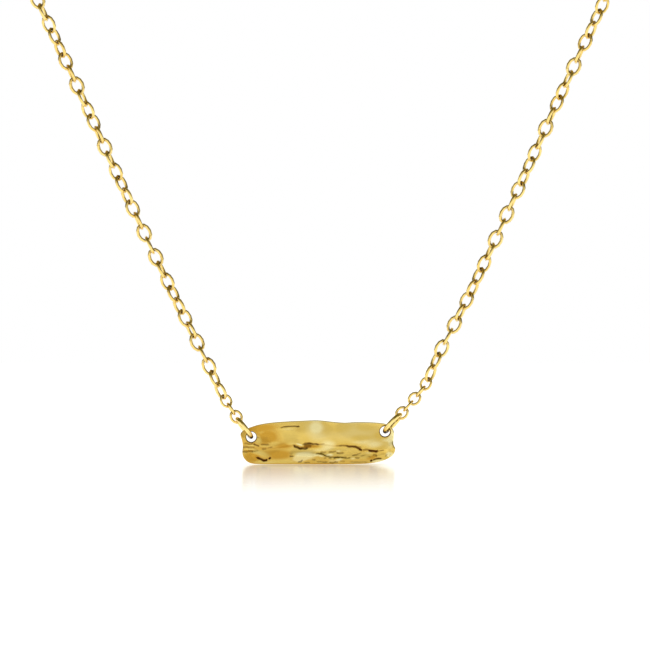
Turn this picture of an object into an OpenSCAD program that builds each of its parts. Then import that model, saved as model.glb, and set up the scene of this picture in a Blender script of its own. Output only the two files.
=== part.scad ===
// Bar necklace. A gold bar with a folded and creased front hangs by a jump ring at each end
// from one fine chain, which goes round the neck and closes with a spring ring at the nape.
// Millimetres. +Z is up, the bar's face looks to -Y, and the origin is in the middle of the
// neck opening, level with the stretch of chain that lies on the neck.

/* [Bar] */
// Length of the bar from end to end
bar_length = 20; // [17:0.5:28]
// Height of the bar from its lower to its upper edge
bar_height = 5.7; // [5.2:0.1:7.5]
// Thickness of the plain plate under the relief
bar_thickness = 1; // [0.8:0.05:1.2]
// Height of the highest fold on the front
relief_height = 0.25; // [0.1:0.01:0.3]
// Diameter of the hole at each end
hole_diameter = 1.35; // [1.25:0.05:1.4]
// From the left end of the bar to the middle of its hole
left_hole_inset = 1.4; // [1.3:0.05:2.4]
// From the upper edge of the bar down to the middle of the left hole
left_hole_drop = 2.15; // [2.1:0.05:2.8]
// From the right end of the bar to the middle of its hole
right_hole_inset = 1.35; // [1.25:0.05:2.4]
// From the upper edge of the bar down to the middle of the right hole
right_hole_drop = 1.45; // [1.4:0.05:2.4]

/* [Jump rings] */
// Outer diameter of the rings that hold the bar
ring_diameter = 3.5; // [3.4:0.1:5]
// Wire of the rings that hold the bar
ring_wire = 0.55; // [0.4:0.05:0.6]
// Lean of the left ring from upright, in degrees
left_ring_lean = 38; // [28:1:44]
// Lean of the right ring from upright, in degrees
right_ring_lean = 43; // [34:1:46]
// Turn of the left ring about the line of pull, its front edge inwards, in degrees
left_ring_turn = 7; // [0:1:12]
// Turn of the right ring about the line of pull, its front edge inwards, in degrees
right_ring_turn = 11; // [0:1:12]

/* [Chain] */
// Outer length of a link
link_length = 2.62; // [2.3:0.02:4]
// Outer width of a link
link_width = 1.95; // [1.7:0.05:2.2]
// Wire of a link
link_wire = 0.38; // [0.26:0.02:0.4]
// Outer length of a small link next to the bar
small_length = 1.98; // [1.8:0.02:2.4]
// Outer width of a small link next to the bar
small_width = 1.7; // [1.5:0.05:1.75]
// Wire of a small link next to the bar
small_wire = 0.32; // [0.22:0.02:0.34]
// How many small links are next to the bar on the left
left_small_links = 3; // [1:1:9]
// How many small links are next to the bar on the right
right_small_links = 5; // [1:1:9]
// Least space between a link and the next one
link_clearance = 0.11; // [0.1:0.01:0.2]

/* [Neck] */
// Width of the neck opening between the two sides of the chain
neck_width = 104; // [90:1:120]
// Depth of the neck opening from the bar's plane to the nape
neck_depth = 88; // [75:1:105]
// Height of the neck stretch of the chain above the middle of the bar
neck_drop = 91; // [78:1:115]
// Depth over which the chain turns from the front on to the side of the neck
shoulder_depth = 16; // [12:1:24]

/* [Clasp] */
// Outer diameter of the spring ring
clasp_diameter = 5.5; // [5:0.1:7]
// Thickness of the spring ring's tube
clasp_wire = 1; // [0.8:0.05:1.2]
// Outer diameter of the eye on the spring ring
eye_diameter = 2.2; // [2:0.1:2.6]
// Wire of the eye on the spring ring
eye_wire = 0.45; // [0.35:0.05:0.5]
// Length of the trigger that stands out of the spring ring
trigger_length = 0.9; // [0.6:0.1:1.4]
// Outer diameter of the rings at the two ends of the chain
end_ring_diameter = 3.2; // [3:0.1:4.5]
// Wire of the rings at the two ends of the chain
end_ring_wire = 0.45; // [0.35:0.05:0.5]

/* [Hidden] */

gold = [0.87, 0.7, 0.33];
LEFT = -1;
RIGHT = 1;

// The bar's outline. Rows are [along, up], as shares of its length from the left end and of
// its height from the lower edge. Each edge starts and ends at a corner of the bar.
left_end = [[0.039, 0.073], [0.021, 0.15], [0.012, 0.26], [0.015, 0.4], [0.01, 0.54], [0, 0.67],
    [0.012, 0.75], [0.036, 0.797]];
right_end = [[0.955, 0.134], [0.985, 0.21], [1, 0.35], [0.988, 0.46], [0.99, 0.62],
    [0.99, 0.75], [0.968, 0.865]];
lower_edge = [[0.039, 0.073], [0.065, 0.027], [0.107, 0.007], [0.22, 0], [0.64, 0],
    [0.78, 0.01], [0.858, 0.034], [0.913, 0.075], [0.955, 0.134]];
upper_edge = [[0.036, 0.797], [0.068, 0.845], [0.12, 0.902], [0.19, 0.943], [0.27, 0.968],
    [0.39, 0.99], [0.5, 1], [0.615, 0.96], [0.675, 0.948], [0.74, 0.96], [0.825, 0.958],
    [0.887, 0.945], [0.935, 0.92], [0.968, 0.865]];

// The line where the upper sheet of metal laps over the lower one. Rows are [along, up, lap],
// where lap is the share of the relief that the upper sheet stands proud by.
lap_line = [[0, 0.4, 0], [0.1, 0.4, 0.25], [0.2, 0.36, 0.3], [0.34, 0.43, 0.45],
    [0.41, 0.4, 0.6], [0.51, 0.45, 0.5], [0.6, 0.42, 0.35], [0.67, 0.42, 0.75],
    [0.75, 0.38, 1], [0.785, 0.31, 1], [0.81, 0.33, 0.8], [0.86, 0.29, 1], [0.93, 0.31, 0.5],
    [1, 0.35, 0]];
// Height of the slope at the lapped edge, as a share of the bar's height
lap_slope = 0.07;
// The upper sheet falls back by this share of the lap, over this share of the bar's height
lap_fall = 0.6;
lap_fall_height = 0.6;

// Folds and creases on the front. Rows are [from along, from up, to along, to up, half width,
// height]. The half width is a share of the bar's height, and the height is a share of the
// relief, which is negative for a crease.
folds = [
    [0.26, 0.84, 0.38, 0.875, 0.06, -0.45],
    [0.34, 0.43, 0.41, 0.36, 0.07, -0.7],
    [0.4, 0.48, 0.515, 0.45, 0.06, -0.6],
    [0.345, 0.5, 0.4, 0.43, 0.06, 0.5],
    [0.67, 0.43, 0.785, 0.3, 0.08, -0.5],
    [0.8, 0.32, 0.92, 0.31, 0.07, -0.6],
    [0.785, 0.3, 0.71, 0.22, 0.08, -0.3],
    [0.1, 0.16, 0.165, 0.09, 0.07, -0.7],
    [0.1, 0.24, 0.17, 0.17, 0.08, 0.4],
    [0.03, 0.45, 0.13, 0.43, 0.05, -0.35],
    [0.03, 0.34, 0.13, 0.33, 0.05, -0.35],
    [0.35, 0.2, 0.46, 0.19, 0.12, 0.6],
    [0.5, 0.21, 0.57, 0.14, 0.08, 0.45],
    [0.58, 0.24, 0.66, 0.17, 0.08, -0.4],
    [0.62, 0.12, 0.7, 0.1, 0.08, 0.45],
    [0.72, 0.14, 0.82, 0.15, 0.09, 0.35],
    [0.845, 0.1, 0.91, 0.16, 0.06, -0.6],
    [0.985, 0.2, 0.98, 0.42, 0.12, 0.5],
    [0.03, 0.6, 0.05, 0.72, 0.12, 0.3],
    [0.17, 0.62, 0.21, 0.5, 0.3, -0.3],
    [0.46, 0.75, 0.5, 0.62, 0.4, 0.35],
    [0.7, 0.72, 0.84, 0.66, 0.35, 0.2]];

// Cells of the bar's surface along its length and up its height
cells_along = 60;
cells_up = 16;
// How far the cells are drawn together towards the ends, from 0 to 1
end_crowding = 0.6;
// The higher these are, the closer to its rim the plate keeps its full thickness
rim_power_along = 28;
rim_power_up = 8;

// The chain's way from a jump ring up to the side of the neck. Rows are [across, up, back]:
// shares of the way from the ring's middle to the side of the neck, of the way up to the
// neck stretch, and of the shoulder's depth.
left_arm = [[0.055, 0.039, 0], [0.117, 0.099, 0], [0.194, 0.173, 0], [0.343, 0.322, 0],
    [0.485, 0.471, 0], [0.626, 0.618, 0], [0.769, 0.764, 0], [0.892, 0.883, 0.08],
    [0.968, 0.962, 0.4], [1, 1, 1]];
right_arm = [[0.06, 0.032, 0], [0.095, 0.052, 0], [0.132, 0.092, 0], [0.212, 0.166, 0],
    [0.36, 0.317, 0], [0.501, 0.467, 0], [0.644, 0.615, 0], [0.783, 0.762, 0],
    [0.898, 0.882, 0.08], [0.97, 0.962, 0.4], [1, 1, 1]];
// Degrees between the points on the curve round the back of the neck
neck_step = 15;
// Points on the curve between two points of the route
route_steps = 8;

// How each link is turned from the one before it. Rows are [link, turn in degrees], the link
// where the turn starts to hold, counted from the first one of full size.
link_turns = [[-9, -90], [-3, -96], [-2, -105], [0, -113], [1, -99], [2, -109], [4, -95],
    [6, -102], [11, -90], [13, -103], [20, -108], [25, -103]];
// Turn of the first link out of the bar's plane
first_turn = -2;
// From this link on the turns are evened out, so that the last link lies flat on the nape
evened_from = 25;

// Least space between the parts of the clasp
clasp_clearance = 0.15;
// How far the eye and the trigger are sunk into the spring ring's tube
solder_depth = 0.3;
// Diameter of the trigger, and where it stands round the ring, in degrees
trigger_wire = 0.7;
trigger_place = 60;

// Sides of a ring and of a wire's section where they are drawn as polygons
ring_sides = 48;
wire_sides = 24;

function unit(v) = v / norm(v);
function mix(a, b, t) = a + (b - a) * t;
function ramp(t) = t <= 0 ? 0 : t >= 1 ? 1 : t * t * (3 - 2 * t);
function hump(t) = abs(t) >= 1 ? 0 : (1 - t * t) * (1 - t * t);

// Reads a table of rows at a place in one column, smoothly, and returns another column
function slope(rows, i, key, value) =
    let (a = rows[max(i - 1, 0)], b = rows[min(i + 1, len(rows) - 1)])
    (b[value] - a[value]) / (b[key] - a[key]);
function row_below(rows, at, key, i) =
    i == 0 || at >= rows[i][key] ? i : row_below(rows, at, key, i - 1);
function smooth_read(rows, at, key, value) =
    let (
        i = row_below(rows, at, key, len(rows) - 2),
        span = rows[i + 1][key] - rows[i][key],
        t = (at - rows[i][key]) / span,
        rise = ramp(t),
        a = slope(rows, i, key, value) * span,
        b = slope(rows, i + 1, key, value) * span
    )
    mix(rows[i][value], rows[i + 1][value], rise)
        + a * t * (1 - t) * (1 - t) - b * t * t * (1 - t);

// The bar's surface: a patch between its four edges
function crowded(t) = t - end_crowding * sin(360 * t) / (2 * PI);
function edge_along(edge, t) =
    let (at = mix(edge[0][0], edge[len(edge) - 1][0], t)) [at, smooth_read(edge, at, 0, 1)];
function edge_up(edge, t) =
    let (at = mix(edge[0][1], edge[len(edge) - 1][1], t)) [smooth_read(edge, at, 1, 0), at];
function patch(u, v) =
    mix(edge_along(lower_edge, u), edge_along(upper_edge, u), v)
        + mix(edge_up(left_end, v), edge_up(right_end, v), u)
        - mix(mix(lower_edge[0], lower_edge[len(lower_edge) - 1], u),
            mix(upper_edge[0], upper_edge[len(upper_edge) - 1], u), v);
function rim(u, v) =
    sqrt((1 - pow(abs(2 * u - 1), rim_power_along)) * (1 - pow(abs(2 * v - 1), rim_power_up)));

// Height of the relief at a place on the front, as a share of relief_height
function on_bar(place) = [place[0] * bar_length, place[1] * bar_height];
function lap(place) =
    let (
        above = place[1] - smooth_read(lap_line, place[0], 0, 1),
        proud = smooth_read(lap_line, place[0], 0, 2)
    )
    proud * ramp(0.5 + above / lap_slope) * (1 - lap_fall * ramp(above / lap_fall_height));
function fold(place, row) =
    let (
        from = on_bar([row[0], row[1]]),
        way = on_bar([row[2], row[3]]) - from,
        step = on_bar(place) - from,
        t = max(0, min(1, (step * way) / (way * way)))
    )
    row[5] * hump(norm(step - t * way) / (row[4] * bar_height));
function total(list, i = 0) = i == len(list) ? 0 : list[i] + total(list, i + 1);
function relief(place) = lap(place) + total([for (row = folds) fold(place, row)]);

along_steps = [for (i = [0 : cells_along]) crowded(i / cells_along)];
up_steps = [for (j = [0 : cells_up]) (1 - cos(180 * j / cells_up)) / 2];
places = [for (u = along_steps) [for (v = up_steps) patch(u, v)]];
rims = [for (u = along_steps) [for (v = up_steps) rim(u, v)]];
reliefs = [for (i = [0 : cells_along]) [for (j = [0 : cells_up])
    relief(places[i][j]) * rims[i][j] * relief_height]];
// The plate is set back by half of its mean relief, so that it hangs upright
plate_back = total([for (i = [1 : cells_along], j = [1 : cells_up])
    reliefs[i][j] * (along_steps[i] - along_steps[i - 1]) * (up_steps[j] - up_steps[j - 1])]) / 2;

// Places in the object's frame
front_y = -neck_depth / 2;
nape_y = neck_depth / 2;
bar_corner = [-bar_length / 2, front_y, -neck_drop - bar_height / 2];
function hole(side) =
    let (
        x = side == LEFT ? left_hole_inset : bar_length - right_hole_inset,
        z = bar_height - (side == LEFT ? left_hole_drop : right_hole_drop)
    )
    bar_corner + [x, 0, z];
ring_radius = (ring_diameter - ring_wire) / 2;
function pull(side) =
    let (lean = side == LEFT ? left_ring_lean : right_ring_lean)
    [side * sin(lean), 0, cos(lean)];
function ring_middle(side) = hole(side) + ring_radius * pull(side);
function ring_normal(side) =
    let (
        turn = side == LEFT ? left_ring_turn : right_ring_turn,
        flat = cross([0, 1, 0], pull(side))
    )
    flat * cos(turn) - side * sin(turn) * cross(pull(side), flat);

// The inner half length of a link or ring: from its middle to the inside of its wire
function reach(length, wire) = length / 2 - wire;
ring_reach = reach(ring_diameter, ring_wire);
small_reach = reach(small_length, small_wire);
link_reach = reach(link_length, link_wire);
end_ring_reach = reach(end_ring_diameter, end_ring_wire);
eye_reach = reach(eye_diameter, eye_wire);
clasp_reach = reach(clasp_diameter, clasp_wire);

// The clasp's pieces stand in a row across the nape
eye_offset = clasp_diameter / 2 + eye_diameter / 2 - solder_depth;
ring_to_eye = end_ring_reach + eye_reach - clasp_clearance;
clasp_to_ring = clasp_reach + end_ring_reach - clasp_clearance;
clasp_row = ring_to_eye + eye_offset + clasp_to_ring;
clasp_x = clasp_row / 2 - clasp_to_ring;
function chain_end(side) = [side * clasp_row / 2, nape_y, 0];

// The chain's route, from the middle of the jump ring to the middle of the end ring
side_y = front_y + shoulder_depth;
function route_points(side) =
    let (start = ring_middle(side))
    concat(
        [start],
        [for (row = side == LEFT ? left_arm : right_arm) [
            mix(start[0], side * neck_width / 2, row[0]),
            mix(front_y, side_y, row[2]),
            mix(start[2], 0, row[1])]],
        [for (t = [neck_step : neck_step : 90 - neck_step]) [
            mix(chain_end(side)[0], side * neck_width / 2, cos(t)),
            mix(side_y, nape_y, sin(t)),
            0]],
        [chain_end(side)]
    );
function tangents(points, first, last) =
    let (end = len(points) - 1)
    [for (i = [0 : end]) i == 0 ? first : i == end ? last :
        let (
            before = points[i] - points[i - 1],
            after = points[i + 1] - points[i],
            a = norm(before),
            b = norm(after)
        )
        (before * b / a + after * a / b) / (a + b)];
function between(points, ways, i, t) =
    let (span = norm(points[i + 1] - points[i]))
    mix(points[i], points[i + 1], ramp(t))
        + ways[i] * span * t * (1 - t) * (1 - t) - ways[i + 1] * span * t * t * (1 - t);
function route(side) =
    let (
        points = route_points(side),
        ways = tangents(points, pull(side), [-side, 0, 0])
    )
    concat(
        [for (i = [0 : len(points) - 2], k = [0 : route_steps - 1])
            between(points, ways, i, k / route_steps)],
        [points[len(points) - 1]]
    );
function running_length(points) =
    [for (i = 0, s = 0; i < len(points);
        i = i + 1, s = i < len(points) ? s + norm(points[i] - points[i - 1]) : s) s];
function place_on(points, lengths, at) =
    [for (axis = [0 : 2])
        lookup(at, [for (i = [0 : len(points) - 1]) [lengths[i], points[i][axis]]])];

// The links along a route: as many as leave them the clearance, evenly spaced
function small_links(side) = side == LEFT ? left_small_links : right_small_links;
function full_links(side, length) =
    let (
        small = small_links(side),
        held = ring_reach + end_ring_reach + 2 * small * small_reach - (small + 1) * link_clearance
    )
    ceil((length - held) / (2 * link_reach - link_clearance));
function link_space(side, length) =
    let (small = small_links(side), full = full_links(side, length))
    (ring_reach + end_ring_reach + 2 * (small * small_reach + full * link_reach) - length)
        / (small + full + 1);
function link_middles(side, length) =
    let (
        small = small_links(side),
        count = small + full_links(side, length),
        space = link_space(side, length)
    )
    [for (i = 0, at = ring_reach + small_reach - space; i < count;
        i = i + 1,
        at = at - space + (i <= small ? small_reach : link_reach)
            + (i < small ? small_reach : link_reach)) at];

// The way each link points, and a direction across it that is carried on without twisting
function carried(ways, first) =
    [for (i = 0, n = unit(first - (first * ways[0]) * ways[0]); i < len(ways);
        i = i + 1, n = i < len(ways) ? unit(n - (n * ways[i]) * ways[i]) : n) n];
function turn_after(link, i) =
    i == 0 || link >= link_turns[i][0] ? link_turns[i][1] : turn_after(link, i - 1);
function turns_to(small, link) =
    total([for (i = [-small : link - 1]) turn_after(i, len(link_turns) - 1)]);
function link_turn(small, link, count, last_turn) =
    let (
        steady = turns_to(small, min(link, evened_from)),
        left_over = count - 1 - evened_from,
        usual = link_turns[len(link_turns) - 1][1],
        to_go = last_turn - first_turn - turns_to(small, evened_from),
        evened = (to_go + 180 * round((usual * left_over - to_go) / 180)) / left_over
    )
    first_turn + steady + max(0, link - evened_from) * evened;

module loop(diameter, wire) {
    rotate_extrude($fn = ring_sides) translate([(diameter - wire) / 2, 0])
        circle(d = wire, $fn = wire_sides);
}

module link(length, width, wire) {
    bend = (width - wire) / 2;
    straight = (length - width) / 2;
    for (turn = [0, 180]) {
        rotate([0, 0, turn]) {
            translate([straight, 0, 0]) rotate([0, 0, -90])
                rotate_extrude(angle = 180, $fn = ring_sides) translate([bend, 0])
                    circle(d = wire, $fn = wire_sides);
            translate([-straight, bend, 0]) rotate([0, 90, 0])
                cylinder(d = wire, h = 2 * straight, $fn = wire_sides);
        }
    }
}

// Sets a piece at a place, with its own X along one direction and its Z along another
module set_at(place, along, normal) {
    across = cross(normal, along);
    multmatrix([for (i = [0 : 2]) [along[i], across[i], normal[i], place[i]]]) children();
}

module bar() {
    base = (cells_along + 1) * (cells_up + 1);
    front = function (i, j) i * (cells_up + 1) + j;
    back = function (i, j)
        i == 0 || i == cells_along || j == 0 || j == cells_up ? front(i, j)
            : base + (i - 1) * (cells_up - 1) + j - 1;
    corner = bar_corner + [0, plate_back, 0];
    cutter_length = 3 * (bar_thickness + relief_height);
    point = function (i, j, y)
        corner + [places[i][j][0] * bar_length, y, places[i][j][1] * bar_height];
    points = concat(
        [for (i = [0 : cells_along], j = [0 : cells_up])
            point(i, j, -rims[i][j] * bar_thickness / 2 - reliefs[i][j])],
        [for (i = [1 : cells_along - 1], j = [1 : cells_up - 1])
            point(i, j, rims[i][j] * bar_thickness / 2)]
    );
    // The cells are split from the corners inwards, so that none is flat against the rim
    split = function (a, b, c, d, cross_over) cross_over ? [[a, b, d], [b, c, d]]
        : [[a, b, c], [a, c, d]];
    faces = [for (i = [0 : cells_along - 1], j = [0 : cells_up - 1])
        let (cross_over = (i < cells_along / 2) != (j < cells_up / 2))
        each concat(
            split(front(i, j), front(i, j + 1), front(i + 1, j + 1), front(i + 1, j), cross_over),
            split(back(i + 1, j), back(i + 1, j + 1), back(i, j + 1), back(i, j), !cross_over)
        )];
    color(gold) difference() {
        polyhedron(points, faces);
        for (side = [LEFT, RIGHT])
            translate(hole(side)) rotate([90, 0, 0])
                cylinder(d = hole_diameter, h = cutter_length, center = true, $fn = ring_sides);
    }
}

module jump_ring(side) {
    color(gold) set_at(ring_middle(side), pull(side), ring_normal(side))
        loop(ring_diameter, ring_wire);
}

module chain(side) {
    points = route(side);
    lengths = running_length(points);
    small = small_links(side);
    middles = link_middles(side, lengths[len(lengths) - 1]);
    count = len(middles);
    half = function (i) i < small ? small_reach : link_reach;
    ends = [for (i = [0 : count - 1]) [
        place_on(points, lengths, middles[i] - half(i)),
        place_on(points, lengths, middles[i] + half(i))]];
    ways = [for (pair = ends) unit(pair[1] - pair[0])];
    normals = carried(ways, [0, -1, 0]);
    last = count - 1;
    nape = [0, 1, 0];
    last_turn = side * atan2(nape * cross(ways[last], normals[last]), nape * normals[last]);
    color(gold) for (i = [0 : last]) {
        turn = side * link_turn(small, i - small, count - small, last_turn);
        normal = normals[i] * cos(turn) + cross(ways[i], normals[i]) * sin(turn);
        set_at((ends[i][0] + ends[i][1]) / 2, ways[i], normal)
            if (i < small) link(small_length, small_width, small_wire);
            else link(link_length, link_width, link_wire);
    }
}

module end_ring(side) {
    color(gold) translate(chain_end(side)) loop(end_ring_diameter, end_ring_wire);
}

module clasp() {
    color(gold) translate([clasp_x, nape_y, 0]) rotate([90, 0, 0]) {
        loop(clasp_diameter, clasp_wire);
        translate([-eye_offset, 0, 0]) loop(eye_diameter, eye_wire);
        rotate([0, 0, trigger_place]) translate([clasp_diameter / 2 - solder_depth, 0, 0])
            rotate([0, 90, 0])
                cylinder(d = trigger_wire, h = trigger_length + solder_depth, $fn = wire_sides);
    }
}

bar();
jump_ring(LEFT);  // jump_ring_left
jump_ring(RIGHT);  // jump_ring_right
chain(LEFT);  // chain_left
chain(RIGHT);  // chain_right
end_ring(LEFT);  // end_ring_left
clasp();
end_ring(RIGHT);  // end_ring_right
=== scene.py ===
"""A gold bar necklace, dressed for its studio picture.

Sizes are in millimetres, as in the construction, and become metres where a mesh is made. +Z is
up, the bar's face looks to -Y, and the origin is in the middle of the neck opening.
"""

import logging
import math
from collections.abc import Iterable
from dataclasses import dataclass, field, replace
from enum import Enum
from typing import Any

import bmesh
import bpy
import numpy as np
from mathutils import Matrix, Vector

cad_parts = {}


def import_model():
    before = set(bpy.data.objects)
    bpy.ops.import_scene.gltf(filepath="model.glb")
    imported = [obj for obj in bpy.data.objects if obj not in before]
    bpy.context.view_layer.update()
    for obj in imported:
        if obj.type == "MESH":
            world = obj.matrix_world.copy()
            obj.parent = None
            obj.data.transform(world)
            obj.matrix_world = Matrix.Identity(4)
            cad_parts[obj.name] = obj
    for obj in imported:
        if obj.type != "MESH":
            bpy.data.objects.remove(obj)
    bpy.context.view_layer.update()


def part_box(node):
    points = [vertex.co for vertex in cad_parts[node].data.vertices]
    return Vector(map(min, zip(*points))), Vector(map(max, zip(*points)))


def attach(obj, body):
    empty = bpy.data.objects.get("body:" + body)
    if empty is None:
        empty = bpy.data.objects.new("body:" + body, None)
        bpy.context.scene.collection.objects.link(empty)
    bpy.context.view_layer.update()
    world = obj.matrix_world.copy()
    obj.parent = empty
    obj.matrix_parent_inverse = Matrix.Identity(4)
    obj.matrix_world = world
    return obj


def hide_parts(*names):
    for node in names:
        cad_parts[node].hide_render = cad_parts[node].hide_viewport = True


MM = 0.001
LOG = logging.getLogger("necklace")

Row = tuple[float, ...]
Table = tuple[Row, ...]

# Directions in the part's frame, and two plain colours.
TO_RIGHT = np.array([1.0, 0.0, 0.0])
TO_NAPE = np.array([0.0, 1.0, 0.0])
UP = np.array([0.0, 0.0, 1.0])
WHITE = (1.0, 1.0, 1.0)
BLACK = (0.0, 0.0, 0.0)

# Turns in degrees.
QUARTER_TURN = 90
HALF_TURN = 180

# The numbers of a Mix node's sockets for colours, whose names its other sockets have too.
MIX_FIRST = 6
MIX_SECOND = 7
MIX_RESULT = 2


class Side(Enum):
    """A half of the necklace, as seen from the front. The value is the sign of its X."""

    LEFT = -1
    RIGHT = 1


class Body(Enum):
    """The bodies that the pieces ride on."""

    NECKLACE = "necklace"
    BAR = "bar"


# Node trees


class Wire:
    """A node's output that can stand in a Python expression."""

    def __init__(self, tree: "Tree", socket: bpy.types.NodeSocket) -> None:
        """Keeps the tree that new nodes go into, and the output itself."""
        self.tree = tree
        self.socket = socket

    def __add__(self, other: Any) -> "Wire":
        """This plus other."""
        return self.tree.maths("ADD", self, other)

    def __radd__(self, other: Any) -> "Wire":
        """Other plus this."""
        return self.tree.maths("ADD", other, self)

    def __sub__(self, other: Any) -> "Wire":
        """This less other."""
        return self.tree.maths("SUBTRACT", self, other)

    def __rsub__(self, other: Any) -> "Wire":
        """Other less this."""
        return self.tree.maths("SUBTRACT", other, self)

    def __mul__(self, other: Any) -> "Wire":
        """This times other."""
        return self.tree.maths("MULTIPLY", self, other)

    def __rmul__(self, other: Any) -> "Wire":
        """Other times this."""
        return self.tree.maths("MULTIPLY", other, self)

    def __truediv__(self, other: Any) -> "Wire":
        """This over other."""
        return self.tree.maths("DIVIDE", self, other)

    def __rtruediv__(self, other: Any) -> "Wire":
        """Other over this."""
        return self.tree.maths("DIVIDE", other, self)

    def __pow__(self, other: Any) -> "Wire":
        """This to the power of other."""
        return self.tree.maths("POWER", self, other)

    def parts(self) -> tuple["Wire", "Wire", "Wire"]:
        """A vector's three parts."""
        made = self.tree.add("ShaderNodeSeparateXYZ", inputs={0: self})
        return tuple(Wire(self.tree, socket) for socket in made.outputs)

    def smooth(self, low: float, high: float) -> "Wire":
        """Rises smoothly from 0 at low to 1 at high, or falls where high is the lower.

        Args:
            low: The value of this wire at which the result is 0.
            high: The value at which it is 1.

        Returns:
            The result, from 0 to 1.
        """
        settings = {"interpolation_type": "SMOOTHSTEP"}
        ends = {"Value": self, "From Min": min(low, high), "From Max": max(low, high)}
        risen = self.tree.wire("ShaderNodeMapRange", settings, ends)
        return risen if low < high else 1.0 - risen


class Tree:
    """A node tree under construction, of a material, the world or a geometry modifier."""

    def __init__(self, tree: bpy.types.NodeTree) -> None:
        """Keeps the tree, emptied."""
        self.tree = tree
        tree.nodes.clear()

    def add(self, kind: str, settings: dict[str, Any] | None = None,
            inputs: dict[str | int, Any] | None = None) -> bpy.types.Node:
        """Adds a node.

        Args:
            kind: The node's type, such as ShaderNodeMath.
            settings: Its settings, which are set first.
            inputs: A value or a wire for each socket, by name or number.

        Returns:
            The node.
        """
        made = self.tree.nodes.new(kind)
        for name, value in (settings or {}).items():
            setattr(made, name, value)
        for name, value in (inputs or {}).items():
            self._feed(made.inputs[name], value)
        return made

    def wire(self, kind: str, settings: dict[str, Any] | None = None,
             inputs: dict[str | int, Any] | None = None, output: str | int = 0) -> Wire:
        """Adds a node and returns one of its outputs, the first if none is named."""
        return Wire(self, self.add(kind, settings, inputs).outputs[output])

    def _feed(self, socket: bpy.types.NodeSocket, value: Any) -> None:
        """Links a wire to a socket, or sets a plain value on it.

        Args:
            socket: A node's input.
            value: A wire, a number or other setting, or the three parts of a colour or vector.
        """
        if isinstance(value, Wire):
            self.tree.links.new(value.socket, socket)
        elif socket.type == "RGBA":
            socket.default_value = (*value, 1.0)
        else:
            socket.default_value = value

    def maths(self, operation: str, *values: Any) -> Wire:
        """Adds a Math node, or a Vector Math node where a value is a vector.

        Args:
            operation: What the node works out, such as MULTIPLY.
            values: Its inputs, as wires, numbers or vectors.

        Returns:
            The result.
        """
        if not any(self._is_vector(value) for value in values):
            return self.wire("ShaderNodeMath", {"operation": operation}, dict(enumerate(values)))
        spread = [v if isinstance(v, (Wire, tuple)) else (v, v, v) for v in values]
        return self.wire("ShaderNodeVectorMath", {"operation": operation},
                         dict(enumerate(spread)))

    def _is_vector(self, value: Any) -> bool:
        """Tells vectors and colours from numbers.

        Args:
            value: A wire, a number or a vector.

        Returns:
            True for a vector or a colour.
        """
        if isinstance(value, Wire):
            return value.socket.type in {"VECTOR", "RGBA"}
        return isinstance(value, tuple)

    def mix(self, first: Any, second: Any, share: Any) -> Wire:
        """Blends two colours, from the first at 0 to the second at 1."""
        inputs = {0: share, MIX_FIRST: first, MIX_SECOND: second}
        return self.wire("ShaderNodeMix", {"data_type": "RGBA"}, inputs, output=MIX_RESULT)

    def joined(self, x: Any, y: Any, z: Any) -> Wire:
        """A vector from its three parts."""
        return self.wire("ShaderNodeCombineXYZ", inputs={0: x, 1: y, 2: z})

    def place(self) -> Wire:
        """The place on the piece, in metres in the part's frame."""
        return self.wire("ShaderNodeTexCoord", output="Object")

    def attribute(self, name: str) -> Wire:
        """A number that the mesh carries under a name."""
        return self.wire("ShaderNodeAttribute", {"attribute_name": name}, output="Fac")


# Finishes


@dataclass(frozen=True)
class Noise:
    """Soft noise through space.

    Attributes:
        scale: How many waves it has in a metre.
        detail: How many finer noises are laid over it.
        rough: How strong each of those is beside the one before it.
    """

    scale: float
    detail: float
    rough: float

    def at(self, place: Wire) -> Wire:
        """The noise at a place, from 0 to 1."""
        inputs = {"Vector": place, "Scale": self.scale, "Detail": self.detail,
                  "Roughness": self.rough}
        return place.tree.wire("ShaderNodeTexNoise", inputs=inputs, output="Fac")


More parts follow.
